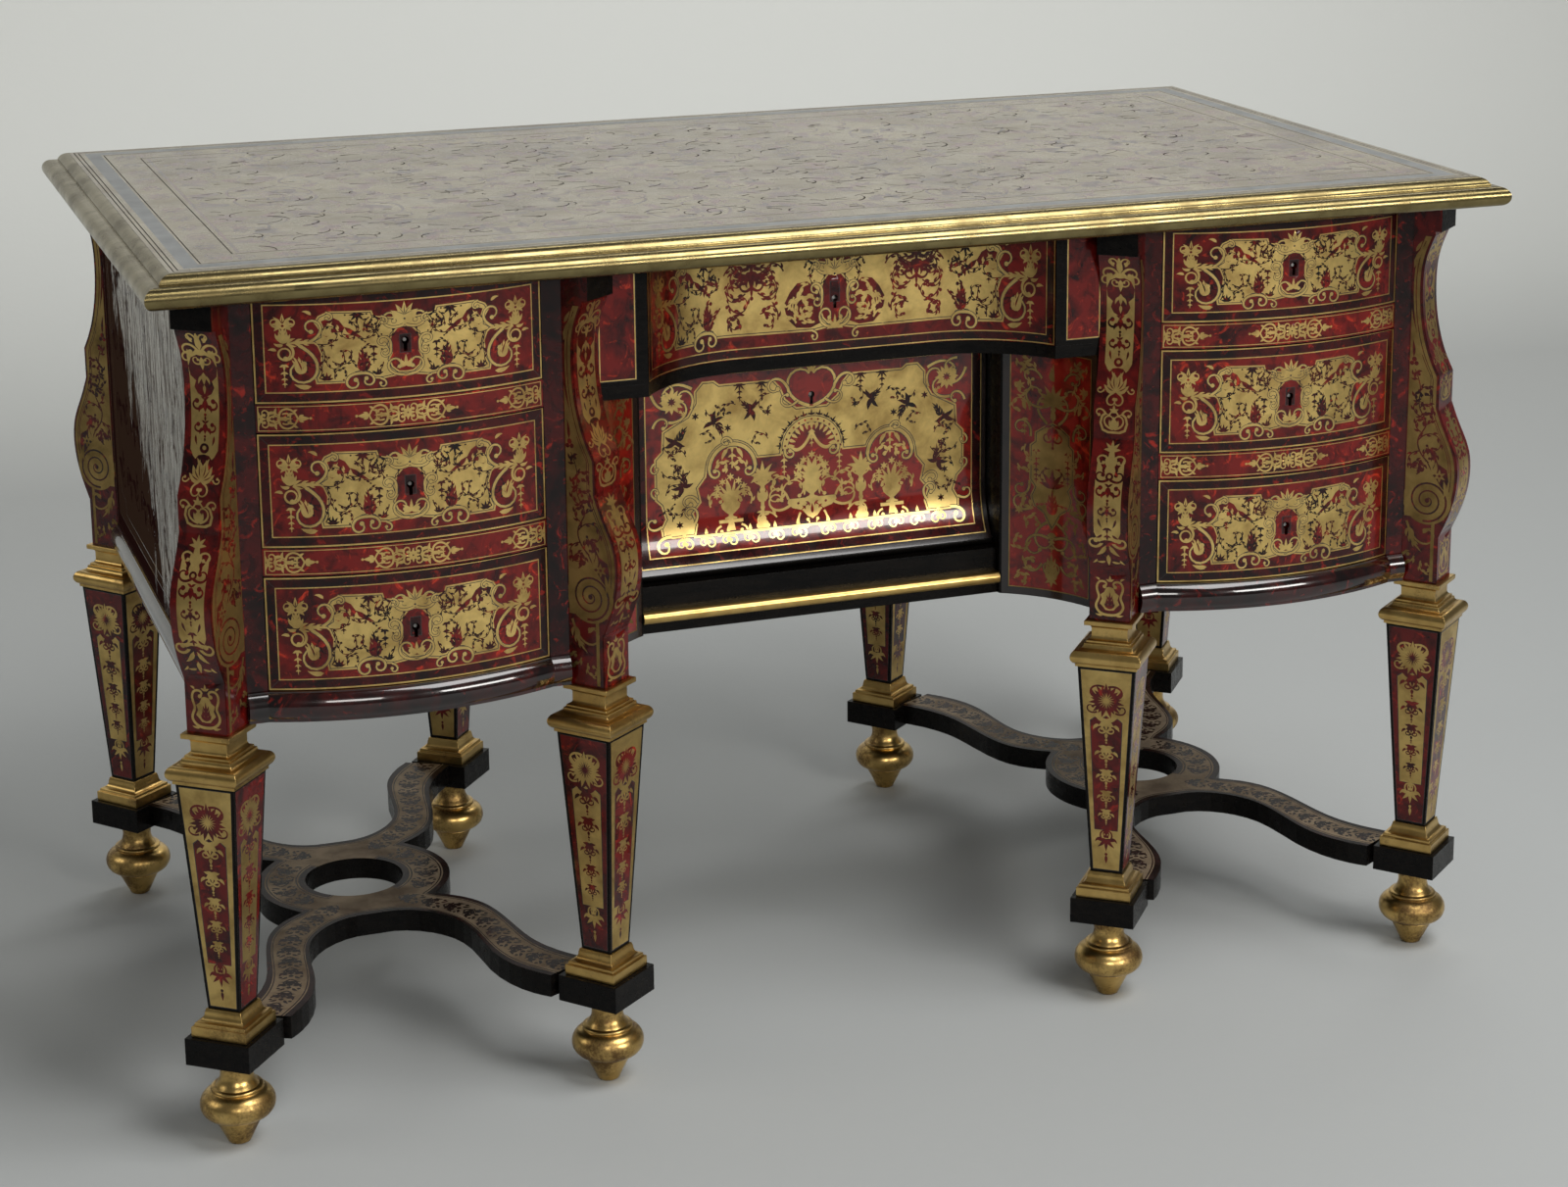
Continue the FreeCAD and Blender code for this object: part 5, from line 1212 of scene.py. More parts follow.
    # Crown of leaves over the keyhole and a sprig under it
    art.cut(BRASS, spray(0, key_y + 21, 90, 16, 4.6, 7, 140, 30) + disc(0, key_y + 23, 4.2, 12)
            + leaf(3, key_y + 21, 10, 11, 4, 70))
    art.cut(BLACK, spray(0, key_y + 24, 90, 10, 0.7, 5, 100, 30) + disc(0, key_y + 20.5, 1.0, 7))
    art.cut(BRASS, spray(0, key_y - 24, 90, 11, 3.0, 5, 150, 50) + leaf(0, key_y - 24, 20, 9, 2.6, 80))
    art.cut(BLACK, [rectangle(5.0, 8.8)])
    art.cut(DARK, [rectangle(4.4, 8.2)])
    scale = (half_y - 10) / FIELD_RISE
    return border.shapes + [(sheet, [(x, key_y * (1 - scale) + y * scale) for x, y in polygon])
                           for sheet, polygon in art.shapes]


def keyhole(x, y):
    """Hole of a lock: a round eye over a slot."""
    return [(None, disc(x, y, 3.3, 16)[0]), (None, rectangle_at(x - 1.55, y - 9.4, x + 1.55, y))]


def finish_lock(name):
    """Iron for the lock and the bolt of a drawer."""
    for part in ("lock", "bolt"):
        finish_node(f"{name}_{part}", lock_iron)


oak, oak_shader = new_material("oak", Specular_IOR_Level=0.35)
oak_grain = noise(oak, 46, 7, 0.62, 0.5, (1, 0.07, 1))
oak_pores = noise(oak, 520, 3, 0.7, 0, (1, 0.05, 1))
drive(oak, oak_shader, Base_Color=blended(
    oak, "MULTIPLY", 0.6, ramp(oak, oak_grain, (0.3, (0.17, 0.088, 0.038)), (0.7, (0.36, 0.21, 0.10))),
    ramp(oak, oak_pores, (0.4, (0.42,)), (0.56, (1.0,)))),
    Roughness=ramp(oak, oak_grain, (0.3, (0.52,)), (0.7, (0.7,))))
dented(oak, oak_shader, oak_pores, 0.0002, 0.0008)
lock_iron, iron_shader = new_material("lock_iron", Metallic=1.0)
drive(lock_iron, iron_shader,
      Base_Color=ramp(lock_iron, noise(lock_iron, 90, 6), (0.35, (0.16, 0.15, 0.14)), (0.65, (0.42, 0.41, 0.40))),
      Roughness=ramp(lock_iron, noise(lock_iron, 150, 5), (0.3, (0.32,)), (0.7, (0.55,))))
dented(lock_iron, iron_shader, noise(lock_iron, 300, 4), 0.0001, 0.0004)
for side, sign in SIDES:
    for level, (low, high) in DRAWER_LEVELS.items():
        name = f"{side}_{level}_drawer"
        front_half = (high - low - FRONT_PLAY) / 2
        face_half = BOW_RADIUS * math.asin((BOW_HALF - 0.6) / BOW_RADIUS) - 0.4
        face_rise, middle = front_half - VENEER_MARGIN, low + FRONT_LIFT + front_half
        key_y = low + KEY_RISE - middle
        marquetry(name + "_marquetry", rectangle(face_half, face_rise),
                  [(BRASS, rectangle(face_half, face_rise))] + drawer_drawing(face_half, face_rise, key_y)
                  + keyhole(0, key_y), bowed(sign * PEDESTAL_X, middle), drawer_sheets, name,
                  folds=upright_folds(face_half, face_rise, BOW_STEPS // 2))
        finish_node(name + "_front", post_shell)
        finish_node(name + "_box", oak)
        finish_lock(name)
finish_node("drawer_guides", oak)
for side in ("left", "right"):
    finish_node(side + "_dust_boards", oak)

# Frieze drawer, end blocks and rail
# The drawer over the kneehole has a concave front that sweeps back between the pedestals. Its inlay is the one of
# the pedestal drawers on a longer field, with a hanging ornament of shell in each half. Plain blocks with a brass
# line close the ends, and the rail below is ebonised.
FRIEZE_FACE, FRIEZE_FLAT, FLAT_HALF, SWEEP_RADIUS, SWEEP_REACH = -282.0, -225.0, 94.93, 121.56, 103.0
FRIEZE_OPENING, FRIEZE_HEAD, NARROW_HALF = 650.0, 762.2, 128
END_BLOCK_X, END_BLOCK_LEVEL, END_BLOCK_HALF, END_BLOCK_RISE = 226.2, 706.5, 17.6, 52.1
sweep_length = SWEEP_RADIUS * math.asin(SWEEP_REACH / SWEEP_RADIUS)
frieze_half = FLAT_HALF + sweep_length - 0.8


def concave_front(level):
    """Surface of the concave front, unrolled from its middle."""
    def spot(x, y):
        if abs(x) <= FLAT_HALF:
            return (x, FRIEZE_FLAT, level + y), (0, -1, 0)
        angle, side = (abs(x) - FLAT_HALF) / SWEEP_RADIUS, math.copysign(1, x)
        return ((side * (FLAT_HALF + SWEEP_RADIUS * math.sin(angle)),
                 FRIEZE_FLAT - SWEEP_RADIUS * (1 - math.cos(angle)), level + y),
                (-side * math.sin(angle), -math.cos(angle), 0))
    return spot


def sweep_folds(half_y):
    """Lines on which the sheets bend in both sweeps."""
    stops = [FLAT_HALF + sweep_length * k / 14 for k in range(14)]
    return [((side * stop, -half_y), (side * stop, half_y)) for stop in stops for side in (-1, 1)]


frieze_foot = FRIEZE_OPENING + FRONT_LIFT
frieze_rise = (FRIEZE_HEAD - frieze_foot) / 2 - VENEER_MARGIN
frieze_middle = (FRIEZE_HEAD + frieze_foot) / 2
frieze_key = FRIEZE_OPENING + KEY_RISE - frieze_middle
marquetry("frieze_drawer_marquetry", rectangle(frieze_half, frieze_rise),
          drawer_drawing(frieze_half, frieze_rise, frieze_key, frieze_half - NARROW_HALF) + keyhole(0, frieze_key),
          concave_front(frieze_middle), drawer_sheets, "frieze_drawer", folds=sweep_folds(frieze_rise))
finish_node("frieze_drawer_front", post_shell)
finish_node("frieze_drawer_box", oak)
finish_lock("frieze_drawer")
finish_node("frieze_end_blocks", ebony)
finish_node("centre_dust_board", ebony)
for side, sign in SIDES:
    outline = rectangle(END_BLOCK_HALF, END_BLOCK_RISE)
    lines = [(sheet, rectangle(END_BLOCK_HALF - margin, END_BLOCK_RISE - margin))
             for sheet, margin in ((BLACK, 0.0), (BRASS, 0.6), (SHELL, 1.6))]
    marquetry(side + "_end_block_marquetry", outline, lines,
              lambda x, y: ((sign * END_BLOCK_X + x, FRIEZE_FACE, END_BLOCK_LEVEL + y), (0, -1, 0)), drawer_sheets)

# Kneehole cupboard
# Ebonised sides, bottom and fascia, with a half-round of gilt bronze along the foot, between two concave panels that
# lead out to the consoles. The panels carry a tall cartouche of brass on shell.
PANEL_X, PANEL_Y, PANEL_RADIUS, PANEL_TURN = 104.4, -321.8, 148.97, 38.6
PANEL_HALF, PANEL_RISE, PANEL_LEVEL = 51, 125.4, 512
BEAD_FACE, BEAD_HALF = -186.0, 180.6


def panel_drawing(half_x, half_y):
    """Concave panel: a tall cartouche between a shell above and a palmette below, joined by scrolls and vines."""
    art = Drawing((1, 1), (-1, 1))
    for margin, sheet in ((7.0, BRASS), (8.0, SHELL)):
        art.cut(sheet, [rectangle(half_x - margin, half_y - margin)])
    field = [(-4, -58), (4, -52), (10, -41), (20, -35), (23, -25), (19, -16), (24, -9), (24, 26), (19, 30), (19, 39),
             (10, 45), (-4, 50)]
    lined_field(art, field, 1.3, 2.0)
    art.cut(SHELL, husks(17, 22, 270, 6, 6.4, 0.9) + pendant(44, 10, 13) + spray(0, -16, 90, 20, 5, 5, 110, 30))
    art.cut(SHELL, acanthus(0, -42, 90, 26, 13, 0, 4) + tendril(3, -34, 30, 30, -250) + tendril(3, 4, 350, 32, -270))
    lined_scrolls(art, ((6, 48, 40, 56, 285, 2.6), (23, 34, 95, 40, -300, 2.4), (24, -10, 265, 36, 300, 2.4),
                        (5, -50, 330, 54, -290, 2.6), (20, -36, 330, 40, 280, 2.4), (4, 66, 340, 50, 260, 2.6),
                        (3, -66, 20, 50, -270, 2.6), (12, 92, 60, 36, -290, 2.2), (10, -92, 300, 36, 290, 2.2),
                        (2, -104, 30, 26, 260, 2.0)), 0.9)
    art.cut(BRASS, disc(0, 68, 3.4, 10) + spray(0, 68, 90, 20, 5.0, 9, 190, 40) + acanthus(0, 90, 90, 18, 10, 0, 3))
    art.cut(BRASS, acanthus(0, -108, 90, 28, 15, 0, 4) + spray(0, -106, 270, 9, 3.4, 5, 170, 40)
            + leaf(0, 50, 90, 14, 6))
    art.cut(BRASS, husks(0, -60, 270, 3, 7) + husks(29, 52, 270, 3, 6) + leaf(28, 60, 60, 14, 4.4, 50))
    art.cut_each(BRASS, tendril, ((24, 60, 80, 38, -270), (26, 92, 240, 34, 260), (18, 100, 60, 26, -250),
                                  (28, 26, 290, 30, -240), (27, -24, 320, 26, -260), (26, -58, 70, 30, 250),
                                  (22, -70, 290, 36, 270), (18, -98, 350, 26, 260), (36, 6, 240, 24, -230),
                                  (38, 110, 250, 24, -250), (38, -110, 110, 24, 250)), 1.5, 6.5)
    art.cut(BRASS, rosette(34, 84, 5.6, 6) + rosette(34, -40, 4.6, 6))
    return art.shapes


def on_panel(side):
    """Surface of a concave panel, unrolled from its middle, which is at PANEL_TURN on its circle."""
    def spot(x, y):
        angle = math.radians(PANEL_TURN) - side * x / PANEL_RADIUS
        return ((side * (PANEL_X + PANEL_RADIUS * math.cos(angle)), PANEL_Y + PANEL_RADIUS * math.sin(angle),
                 PANEL_LEVEL + y),
                (-side * math.cos(angle), -math.sin(angle), 0))
    return spot


panel_shell = tortoiseshell("panel_shell", (0.03, 0.002, 0.002), (0.20, 0.0085, 0.005), (0.50, 0.035, 0.011), 0.43, 0.6)
panel_sheets = [panel_shell, dim_brass, line_black, post_shell]
for side, sign in SIDES:
    outline = rectangle(PANEL_HALF, PANEL_RISE)
    marquetry(side + "_concave_marquetry", outline, [(BLACK, outline)] + panel_drawing(PANEL_HALF, PANEL_RISE),
              on_panel(sign), panel_sheets, folds=upright_folds(PANEL_HALF, PANEL_RISE, 20))
for name in ("concave_side_panels", "cupboard_sides", "cupboard_bottom", "cupboard_fascia"):
    finish_node(name, ebony)
finish_node("flap_pivot_pins", lock_iron)
bead_gilt = gilt_bronze("gilt_bronze_bead", 0.72, 0.0005)
bead_section = [(0.0, 396.2)] + arc((6.2, 396.1), (12.0, 402.0), (6.2, 407.9), 20) + [(0.0, 407.8)]
points, faces = swept(bead_section, [((x, BEAD_FACE), (0.0, -1.0)) for x in (-BEAD_HALF, BEAD_HALF)])
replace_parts(new_piece("cupboard_bead", points, faces, "carcass", [bead_gilt], 40),
            "cupboard_gilt_moulding")

# Fall-front
# The front of the cupboard, hinged at its foot, which sweeps forward in a cavetto. The large field of brass has a
# canopy over a vase, with flower vases in niches beside it and rosettes in the corners, all on shell.
FLAP_HALF, FLAP_FACE, FLAP_FOOT, FLAP_SWEEP_TOP, FLAP_HEAD, FLAP_RADIUS = 180.33, -160.0, 437.0, 492.0, 637.0, 93.03
FLAP_KEY_LEVEL = 594
flap_sweep = FLAP_RADIUS * math.asin((FLAP_SWEEP_TOP - FLAP_FOOT) / FLAP_RADIUS)
flap_length = flap_sweep + FLAP_HEAD - FLAP_SWEEP_TOP


def on_flap(x, y):
    """Surface of the fall-front, with y measured upwards from its foot along the face."""
    if y >= flap_sweep:
        return (x, FLAP_FACE, FLAP_SWEEP_TOP + y - flap_sweep), (0, -1, 0)
    angle = (flap_sweep - y) / FLAP_RADIUS
    return ((x, FLAP_FACE - FLAP_RADIUS * (1 - math.cos(angle)), FLAP_SWEEP_TOP - FLAP_RADIUS * math.sin(angle)),
            (0, -math.cos(angle), math.sin(angle)))


def vase(x, y, scale):
    """Vase on a moulded foot, with a bunch of flowers."""
    half = [(0, 7), (1.5, 7), (3, 3), (5, 2.2), (8, 6), (12, 10), (17, 11.5), (20, 8), (22, 8.5), (24, 11), (26, 11)]
    body = [(x + width * scale, y + rise * scale) for rise, width in half]
    body += [(2 * x - px, py) for px, py in body[::-1]]
    flowers = []
    for turn, reach in ((90, 24), (62, 21), (118, 21), (36, 20), (144, 20), (10, 17), (170, 17)):
        flowers += leaf(x, y + 25 * scale, turn, reach * scale, 3.6 * scale, 30 if turn < 90 else -30)
        way_x, way_y = bearing(turn)
        flowers += rosette(x + reach * 0.95 * scale * way_x, y + (25 + reach * 0.95 * way_y) * scale, 4.8 * scale, 6)
    return [body] + flowers


def lined_ribbon(art, line, whole, brass):
    """Brass band with a thin black line along both sides."""
    for sheet, width in ((BLACK, whole), (BRASS, brass)):
        art.cut(sheet, ribbon(line, (width, width)))


def flap_drawing():
    """Fall-front drawn from its foot upwards."""
    art = Drawing((1, 1), (-1, 1))
    top = flap_length
    for margin, sheet in ((5.0, BRASS), (6.0, DARK), (14.5, BRASS), (15.5, SHELL)):
        art.cut(sheet, [[(0, margin + 2), (FLAP_HALF - margin, margin + 2), (FLAP_HALF - margin, top - margin),
                         (0, top - margin)]])
    niche = [(-4, 140), (0, 140)] + [(30 * y, 110 + 30 * x) for x, y in map(bearing, range(9, 91, 9))]
    niche += [(31, 104), (51, 104)] + [(80 - 25 * x, 96 + 26 * y) for x, y in map(bearing, range(18, 181, 12))]
    field = niche + [(106, 90), (114, 80), (111, 66), (119, 56), (115, 45), (118, 34), (151, 34), (152, 44), (147, 53),
                     (151, 66), (157, 72), (157, 112), (150, 119), (149, 138), (136, 145), (124, 151), (117, 163),
                     (117, 174), (109, 183), (97, 183), (92, 179), (38, 179), (31, 171), (26, 159), (15, 150),
                     (-4, 150)]
    lined_field(art, field, 1.6, 2.4)
    # Canopy: a band with dots and leaves, a fan of drops and two swags
    lined_ribbon(art, [(27 * x, 110 + 27 * y) for x, y in map(bearing, range(0, 97, 6))], 7.0, 5.4)
    for a in range(6, 91, 14):
        way_x, way_y = bearing(a)
        art.cut(SHELL, disc(27 * way_x, 110 + 27 * way_y, 1.1, 7))
        art.cut(BRASS, leaf(25 * way_x, 110 + 25 * way_y, a + 180, 8, 3.4))
        art.cut(DARK, spray(31 * way_x, 110 + 31 * way_y, a, 6, 1.8, 3, 90, 30))
    swag = smooth_line([(0, 126), (6, 114), (15, 108), (24, 113)], 14)
    art.cut(BRASS, ribbon(swag, (2.6, 3.6)) + husks(0, 134, 270, 4, 7) + husks(28, 108, 270, 4, 7))
    lined_scrolls(art, [(27, 110, 275, 22, -290, 2.6)])
    # Vase on a bracket under the canopy, with stems that climb on both sides
    art.cut(BRASS, vase(0, 59, 0.9))
    art.cut(BRASS, [[(-1, 39), (5, 42), (10, 48), (20, 51), (25, 56), (24, 60), (-1, 60)]])
    art.cut(SHELL, husks(3, 55, 320, 2, 5) + disc(14, 55, 1.3, 8) + leaf(0, 44, 90, 10, 3))
    art.cut_each(BRASS, scroll, ((22, 54, 330, 46, 300, 2.8), (24, 60, 70, 40, -290, 2.4),
                                 (12, 46, 300, 30, -260, 2.2)))
    art.cut_each(BRASS, tendril, ((30, 58, 80, 50, 250), (36, 44, 50, 40, -270), (22, 76, 60, 34, -240),
                                  (10, 78, 40, 26, 230)), 1.8, 7)
    # Slender standards between the vases, and a vase of flowers on either side under an arch
    for y, half in ((38, 5.6), (44, 3.4), (55, 2.4), (66, 4.6), (72, 3.0), (81, 5.4)):
        art.cut(BRASS, disc(50, y, half, 12))
    art.cut(BRASS, ribbon([(50, 40), (50, 66), (50, 84)], (3.0, 4.6)) + spray(50, 84, 90, 17, 4.4, 7, 170, 50))
    art.cut(BRASS, leaf(50, 60, 40, 13, 4, 60) + leaf(50, 60, 140, 13, 4, -60) + scroll(53, 78, 20, 18, 260, 1.6))
    art.cut(BRASS, scroll(47, 78, 160, 18, -260, 1.6) + vase(82, 47, 0.86) + ribbon([(70, 45), (94, 45)], (3.2, 3.2)))
    art.cut(BRASS, ribbon([(82, 36), (82, 48)], (8, 4)) + scroll(72, 41, 200, 20, 290, 2.2)
            + scroll(92, 41, 340, 20, -290, 2.2))
    art.cut(BRASS, husks(80, 119, 270, 3, 8) + leaf(76, 116, 220, 13, 4, 40) + leaf(84, 116, 320, 13, 4, -40))
    art.cut_each(BRASS, tendril, ((62, 60, 110, 34, -260), (102, 60, 70, 34, 260), (66, 96, 80, 24, -250),
                                  (97, 96, 100, 24, 250)), 1.6, 6)
    lined_ribbon(art, [(80 - 23 * x, 96 + 24 * y) for x, y in map(bearing, range(-5, 186, 10))], 5.0, 3.4)
    lined_scrolls(art, ((57, 97, 275, 24, 300, 2.6), (103, 97, 265, 24, -300, 2.6), (80, 122, 60, 20, -290, 2.2)))
    # Looped scrolls round the keyhole
    lined_scrolls(art, ((2, 150, 20, 78, 290, 3.2), (24, 170, 60, 40, -300, 2.8), (14, 156, 320, 30, 240, 2.2)))
    art.cut(SHELL, [[(-1, 151), (8, 156), (12, 167), (9, 177), (4, 181), (-1, 183)]])
    art.cut(BRASS, spray(0, 184, 90, 7, 3, 5, 150, 40))
    # Rosettes in the corners, with leafy scrolls wound round them
    lined_scrolls(art, ((119, 177, 30, 42, -150, 2.8), (159, 174, 250, 38, -170, 2.8), (146, 147, 190, 40, -190, 2.8),
                        (120, 158, 110, 34, -230, 2.4), (158, 142, 110, 28, 250, 2.4), (150, 184, 180, 30, 240, 2.2)))
    art.cut(BRASS, rosette(139, 166, 12.5, 12) + disc(139, 166, 5.4, 14) + acanthus(126, 152, 40, 9, 5, 0, 2))
    art.cut(SHELL, rosette(139, 166, 4.6, 8) + disc(139, 166, 1.4, 8))
    # Foot of the field: scrolls and leaves in a row, and a large volute at both ends
    for x in (14, 37, 62, 84, 106, 128):
        lined_scrolls(art, [(x, 33, 200, 22, 290, 2.2), (x + 3, 33, 340, 17, -280, 2.0)])
        art.cut(BRASS, leaf(x + 1.5, 33, 90, 8, 3.4) + spray(x + 1.5, 33, 270, 8, 2.6, 3, 100, 30))
    lined_ribbon(art, [(-1, 33.5), (60, 33.5), (120, 33.5)], 3.4, 2.2)
    lined_scrolls(art, ((142, 36, 0, 40, -330, 3.0), (151, 46, 330, 26, 260, 2.4), (157, 74, 40, 18, 260, 2.0),
                        (157, 108, 320, 18, -260, 2.0), (118, 46, 120, 34, -300, 2.4), (114, 66, 60, 30, -290, 2.4)))
    # Leafy sprigs, vines and small flowers of shell on the brass
    for x, y, turn in ((62, 152, 25), (98, 142, 235), (136, 128, 110), (130, 84, 70)):
        art.cut(DARK, acanthus(x - 3, y, turn, 17, 8, 30, 4) + leaf(x, y, turn + 200, 13, 5, 50))
        art.cut(DARK, leaf(x, y, turn + 130, 12, 4.4, -60) + leaf(x, y, turn + 250, 12, 4, 60) + rosette(x, y, 4.2, 6))
    art.cut_each(DARK, tendril, ((76, 158, 30, 26, -250), (42, 166, 350, 34, -250), (106, 156, 250, 30, -250),
                                 (112, 132, 150, 26, 240), (44, 122, 60, 30, -260), (148, 126, 260, 34, -260),
                                 (126, 112, 70, 30, -250), (150, 100, 240, 38, -270), (122, 98, 300, 32, 250),
                                 (146, 76, 100, 32, 260), (126, 64, 290, 30, 240), (140, 50, 100, 26, -240)), 0.9, 5.0)
    for x in (50, 72):
        art.cut(DARK, spray(x, 178, 270, 9, 2.0, 5, 120, 30) + husks(x, 171, 270, 2, 5))
    for x, y in ((84, 136), (116, 150), (134, 100), (44, 148), (137, 74), (133, 46)):
        art.cut(DARK, rosette(x, y, 4.0, 6))
    return art.shapes


flap_outline = [(-FLAP_HALF + 0.6, 0.8), (FLAP_HALF - 0.6, 0.8), (FLAP_HALF - 0.6, flap_length - 1.2),
                (-FLAP_HALF + 0.6, flap_length - 1.2)]
flap_folds = [((-FLAP_HALF, flap_sweep * k / 14), (FLAP_HALF, flap_sweep * k / 14)) for k in range(1, 15)]
flap_key = flap_sweep + FLAP_KEY_LEVEL - FLAP_SWEEP_TOP
marquetry("flap_marquetry", flap_outline, [(BLACK, flap_outline)] + flap_drawing() + keyhole(0, flap_key), on_flap,
          [panel_shell, drawer_brass, line_black, post_shell], "kneehole_flap", folds=flap_folds)
finish_node("kneehole_flap", ebony)
finish_node("flap_lock", lock_iron)
finish_node("flap_lock_bolt", lock_iron)

# Top panel
# The writing surface: one large sheet of brass and shell, dulled by use. Round it run a wide border with a vine and
# a blue-grey band between thin lines. Seen low it mirrors the wall, and only the engraved and lifted joints stay dark.
TOP_HALF_X, TOP_HALF_Y, TOP_LEVEL, BORDER_MIDDLE, VEINS = 618.3, 324.3, 790.0, 47, 760
GROUND, FIGURE, JOINT, BAND = range(4)
top_ground, top_shader = new_material("top_brass", Coat_Weight=0.25, Coat_Roughness=0.12, Specular_IOR_Level=0.6)
top_cloud = ramp(top_ground, noise(top_ground, 9, 6, 0.6, 0.6), (0.36, (0.20, 0.155, 0.10)), (0.64, (0.33, 0.28, 0.19)))
drive(top_ground, top_shader, Base_Color=top_cloud,
      Roughness=ramp(top_ground, noise(top_ground, 30, 6), (0.3, (0.2,)), (0.7, (0.34,))),
      Metallic=ramp(top_ground, noise(top_ground, 14, 4), (0.35, (0.45,)), (0.65, (0.75,))))
dented(top_ground, top_shader, noise(top_ground, 60, 5), 0.0004)
top_shell = tortoiseshell("top_shell", (0.05, 0.022, 0.022), (0.16, 0.075, 0.07), (0.2, 0.08, 0.05))
top_dark = mottled("top_joints", 80, (0.01, 0.007, 0.006), (0.03, 0.022, 0.018), Roughness=0.9, Specular_IOR_Level=0.02)
top_blue = mottled("top_band", 40, (0.09, 0.095, 0.10), (0.17, 0.175, 0.18), 6, Roughness=0.3)


def top_drawing():
    """Border lines, then arabesques of shell all over the field and lifted joints as short dark veins."""
    art = Drawing((1, 1), (-1, 1), (1, -1), (-1, -1))
    for margin, sheet in ((4, JOINT), (5, GROUND), (8, JOINT), (9, GROUND), (14, BAND), (28, GROUND), (30, JOINT),
                          (31, GROUND), (62, JOINT), (63, GROUND), (67, FIGURE), (70, GROUND)):
        art.shapes.append((sheet, rectangle(TOP_HALF_X - margin, TOP_HALF_Y - margin)))
    for way, first, pitch, count, spot in ((0, 22, 47, 12, lambda at: (at, TOP_HALF_Y - BORDER_MIDDLE)),
                                           (90, 20, 46, 6, lambda at: (TOP_HALF_X - BORDER_MIDDLE, at))):
        for at in range(first, first + pitch * count, pitch):
            for turn in (-1, 1):
                art.cut(FIGURE, scroll(*spot(at), way + turn * 50, 44, turn * -330, 1.8))
                art.cut(FIGURE, leaf(*spot(at + 12), way + turn * 60, 14, 4, turn * 40))
            art.cut(FIGURE, spray(*spot(at + 20), way, 15, 3.6, 5, 120, 40))
    for column in range(8):
        for row in range(4):
            x, y = 34 + column * 68, 32 + row * 66
            turn = 1 if (column + row) % 2 else -1
            way = 40 * column + 70 * row
            art.cut(FIGURE, scroll(x, y, way, 92, turn * -330, 3.4) + scroll(x, y, way + 180, 84, turn * 300, 3.0))
            art.cut(FIGURE, acanthus(x + 8, y, way + 60, 34, 16, turn * 50) + acanthus(x - 8, y + 6, way + 230, 30, 13,
                                                                                       40))
            art.cut(FIGURE, spray(x + 24, y - 14, way + 120, 20, 6, 5, 160, 40))
    rng = random.Random(12)
    for _ in range(VEINS):
        x, y = rng.uniform(-545, 545), rng.uniform(-250, 250)
        way, length = rng.choice((0, 0, 0, 180)) + rng.uniform(-28, 28), rng.uniform(6, 30)
        vein = curl(x, y, way, length, rng.uniform(-140, 140), 1.0)
        art.shapes += [(JOINT, polygon) for polygon in ribbon(vein, (rng.uniform(1.2, 2.6), 0.6))]
    return art.shapes


marquetry("top_marquetry", rectangle(TOP_HALF_X - 0.2, TOP_HALF_Y - 0.2), top_drawing(),
          lambda x, y: ((x, y, TOP_LEVEL), (0, 0, 1)), [top_ground, top_shell, top_dark, top_blue], "carcass",
          lift=0.15)
finish_node("top_panel", ebony)

# Top edge moulding
# Brass moulding in four lengths round the top, mitred at the corners: a bold torus below, a fillet and an ogee above.
edge_brass = inlay_brass("edge_moulding_brass", (0.25, 0.20, 0.09), (0.15, 0.115, 0.05), 0.2, 0.000008)
edge_section = ([(24.7, 763.0), (9.6, 763.0)] + arc((9.3, 763.0), (0.0, 772.3), (9.3, 781.6), 24)
                + [(9.7, 781.9), (14.1, 781.9), (14.5, 782.2), (14.5, 783.0)]
                + arc((14.5, 783.2), (18.0, 787.6), (24.4, 789.9), 12) + [(24.7, 790.0)])
EDGE_X, EDGE_Y = 643.0, 349.0
for number, (half_run, half_across) in enumerate(((EDGE_X, EDGE_Y), (EDGE_Y, EDGE_X)) * 2):
    turn = Matrix.Rotation(number * math.pi / 2, 3, "Z")
    points = []
    for end in (-1, 1):
        points += [turn @ Vector((end * (half_run - depth), -half_across + depth, level))
                   for depth, level in edge_section]
    count = len(edge_section)
    faces = [[k, k + 1, count + k + 1, count + k] for k in range(count - 1)]
    faces += [list(range(count)), list(range(count, 2 * count))[::-1]]
    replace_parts(new_piece(f"top_edge_{number + 1}", points, [face[::-1] for face in faces], "carcass",
                          [edge_brass], 30), "top_edge_moulding")

# Setting
# A pale studio floor that sweeps up into a wall. Its colour carries painted light: it ramps paler up the sweep into the
# wall, and is painted a little darker towards the right as painted shade. Two low wide lamps in front give the bowed
# fronts and the fall-front their highlights, a large one hangs over the top, a weak one stands at the left and one
# lights the wall.
FLOOR_HALF = 7.0
stage_material, stage_shader = new_material("studio_floor", Roughness=0.7, Specular_IOR_Level=0.15)
place = add_node(stage_material, "TexCoord").outputs["Object"]
spread = add_node(stage_material, "SeparateXYZ", Vector=place).outputs
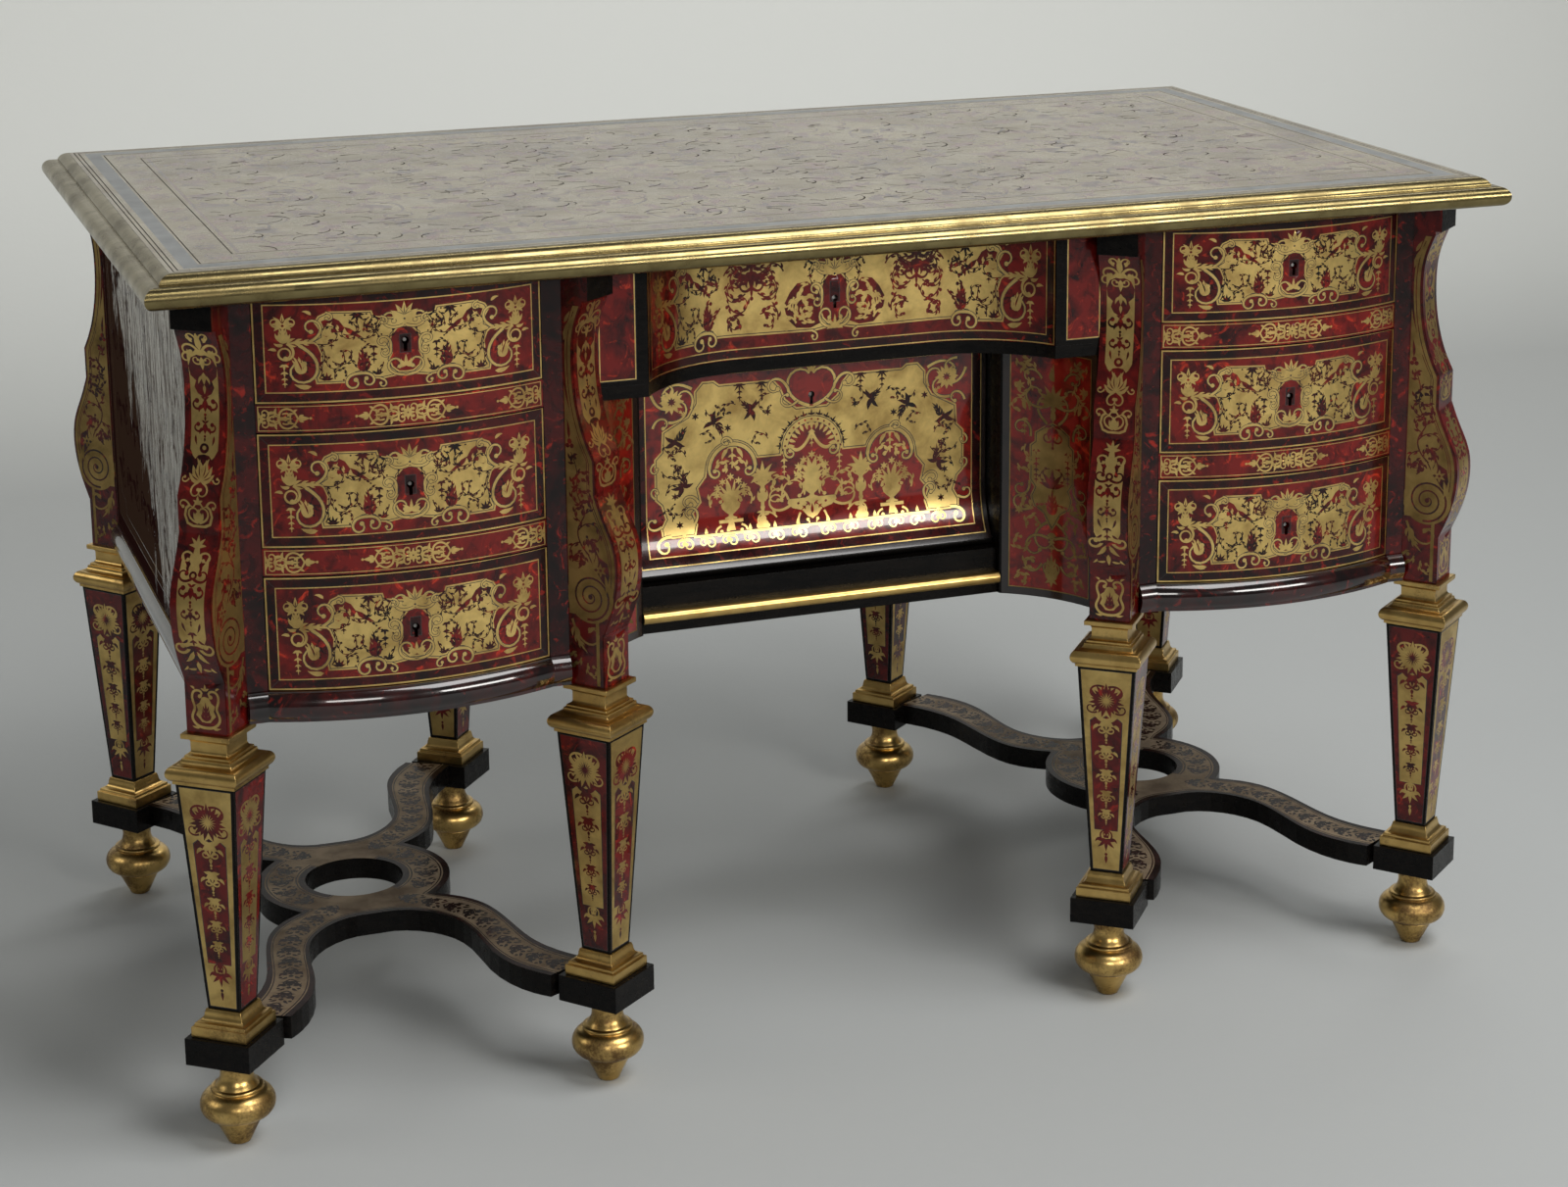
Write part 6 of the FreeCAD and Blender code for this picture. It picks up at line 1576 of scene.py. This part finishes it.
# Painted light in the floor's colour: paler up the sweep into the wall (depth), and painted shade a little darker
# towards the right (across).
depth, across = [add_node(stage_material, "MapRange", {"interpolation_type": "SMOOTHSTEP"}, Value=spread[axis],
                          From_Min=start, From_Max=end, To_Min=low, To_Max=high).outputs["Result"]
                 for axis, start, end, low, high in (("Y", -0.4, 3.6, 0.0, 1.0), ("X", -2.2, 1.2, 1.0, 0.93))]
grey = ramp(stage_material, depth, (0.0, (0.42, 0.437, 0.437)), (0.62, (0.43, 0.44, 0.43)), (1.0, (0.70, 0.71, 0.68)))
drive(stage_material, stage_shader, Base_Color=blended(stage_material, "MULTIPLY", 1.0, grey, across))
dented(stage_material, stage_shader, noise(stage_material, 60, 4), 0.0003)
sweep = [(-6.0, 0.0), (-2.0, 0.0), (2.4, 0.0)] + arc((2.4, 0.0), (3.28, 0.37), (3.65, 1.25), 24)[1:] + [(3.65, 5.5)]
points = [(x, y, z) for y, z in sweep for x in (-FLOOR_HALF, FLOOR_HALF)]
faces = [(2 * k, 2 * k + 1, 2 * k + 3, 2 * k + 2) for k in range(len(sweep) - 1)]
floor_mesh = bpy.data.meshes.new("studio_floor")
floor_mesh.from_pydata(points, [], faces)
floor_mesh.shade_smooth()
floor_mesh.materials.append(stage_material)
floor = bpy.data.objects.new("studio_floor", floor_mesh)
bpy.context.scene.collection.objects.link(floor)
lamps = []
for name, spot, target, size, watts, color in (
        ("left_softbox", (-3.4, 0.4, 2.2), (0, 0, 0.5), (1.6, 1.6), 16, (1.0, 0.98, 0.95)),
        ("near_softbox", (-1.0, -4.0, 1.9), (0, 0, 0.6), (1.2, 0.7), 32, (1.0, 0.98, 0.94)),
        ("front_softbox", (1.95, -4.0, 1.9), (0.2, 0, 0.6), (2.0, 0.7), 84, (1.0, 0.98, 0.94)),
        ("top_softbox", (1.0, -1.5, 3.3), (0, -0.3, 0.3), (2.2, 1.5), 84, (1.0, 0.99, 0.98)),
        ("back_softbox", (1.7, 1.9, 3.6), (1.3, 3.4, 1.2), (4.0, 0.8), 62, (1.0, 1.0, 1.0))):
    light = bpy.data.lights.new(name, "AREA")
    light.shape = "RECTANGLE"
    light.size, light.size_y = size
    light.energy, light.color = watts, color
    lamp = bpy.data.objects.new(name, light)
    lamp.location = spot
    lamp.rotation_euler = (Vector(target) - Vector(spot)).to_track_quat("-Z", "Y").to_euler()
    bpy.context.scene.collection.objects.link(lamp)
    lamps.append(lamp)
world = bpy.data.worlds.new("studio")
bpy.context.scene.world = world
world.use_nodes = True
world.node_tree.nodes["Background"].inputs["Color"].default_value = (0.80, 0.82, 0.82, 1)
world.node_tree.nodes["Background"].inputs["Strength"].default_value = 0.13
bpy.context.scene.view_settings.view_transform = "Standard"
lens = bpy.data.cameras.new("camera")
lens.lens, lens.sensor_width, lens.shift_x, lens.shift_y = 71.40, 36, -0.0446, -0.15
camera = bpy.data.objects.new("camera", lens)
camera.location = (-0.9815, -2.8541, 1.3021)
turn = Matrix.Rotation(math.radians(-20.83), 4, "Z") @ Matrix.Rotation(math.radians(76.79), 4, "X")
camera.rotation_euler = (turn @ Matrix.Rotation(math.radians(-0.207), 4, "Z")).to_euler()
bpy.context.scene.collection.objects.link(camera)
bpy.context.scene.camera = camera
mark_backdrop(floor, camera, *lamps)
low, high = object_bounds()
{"cad": [list(cad_low), list(cad_high)], "scene": [list(low), list(high)]}
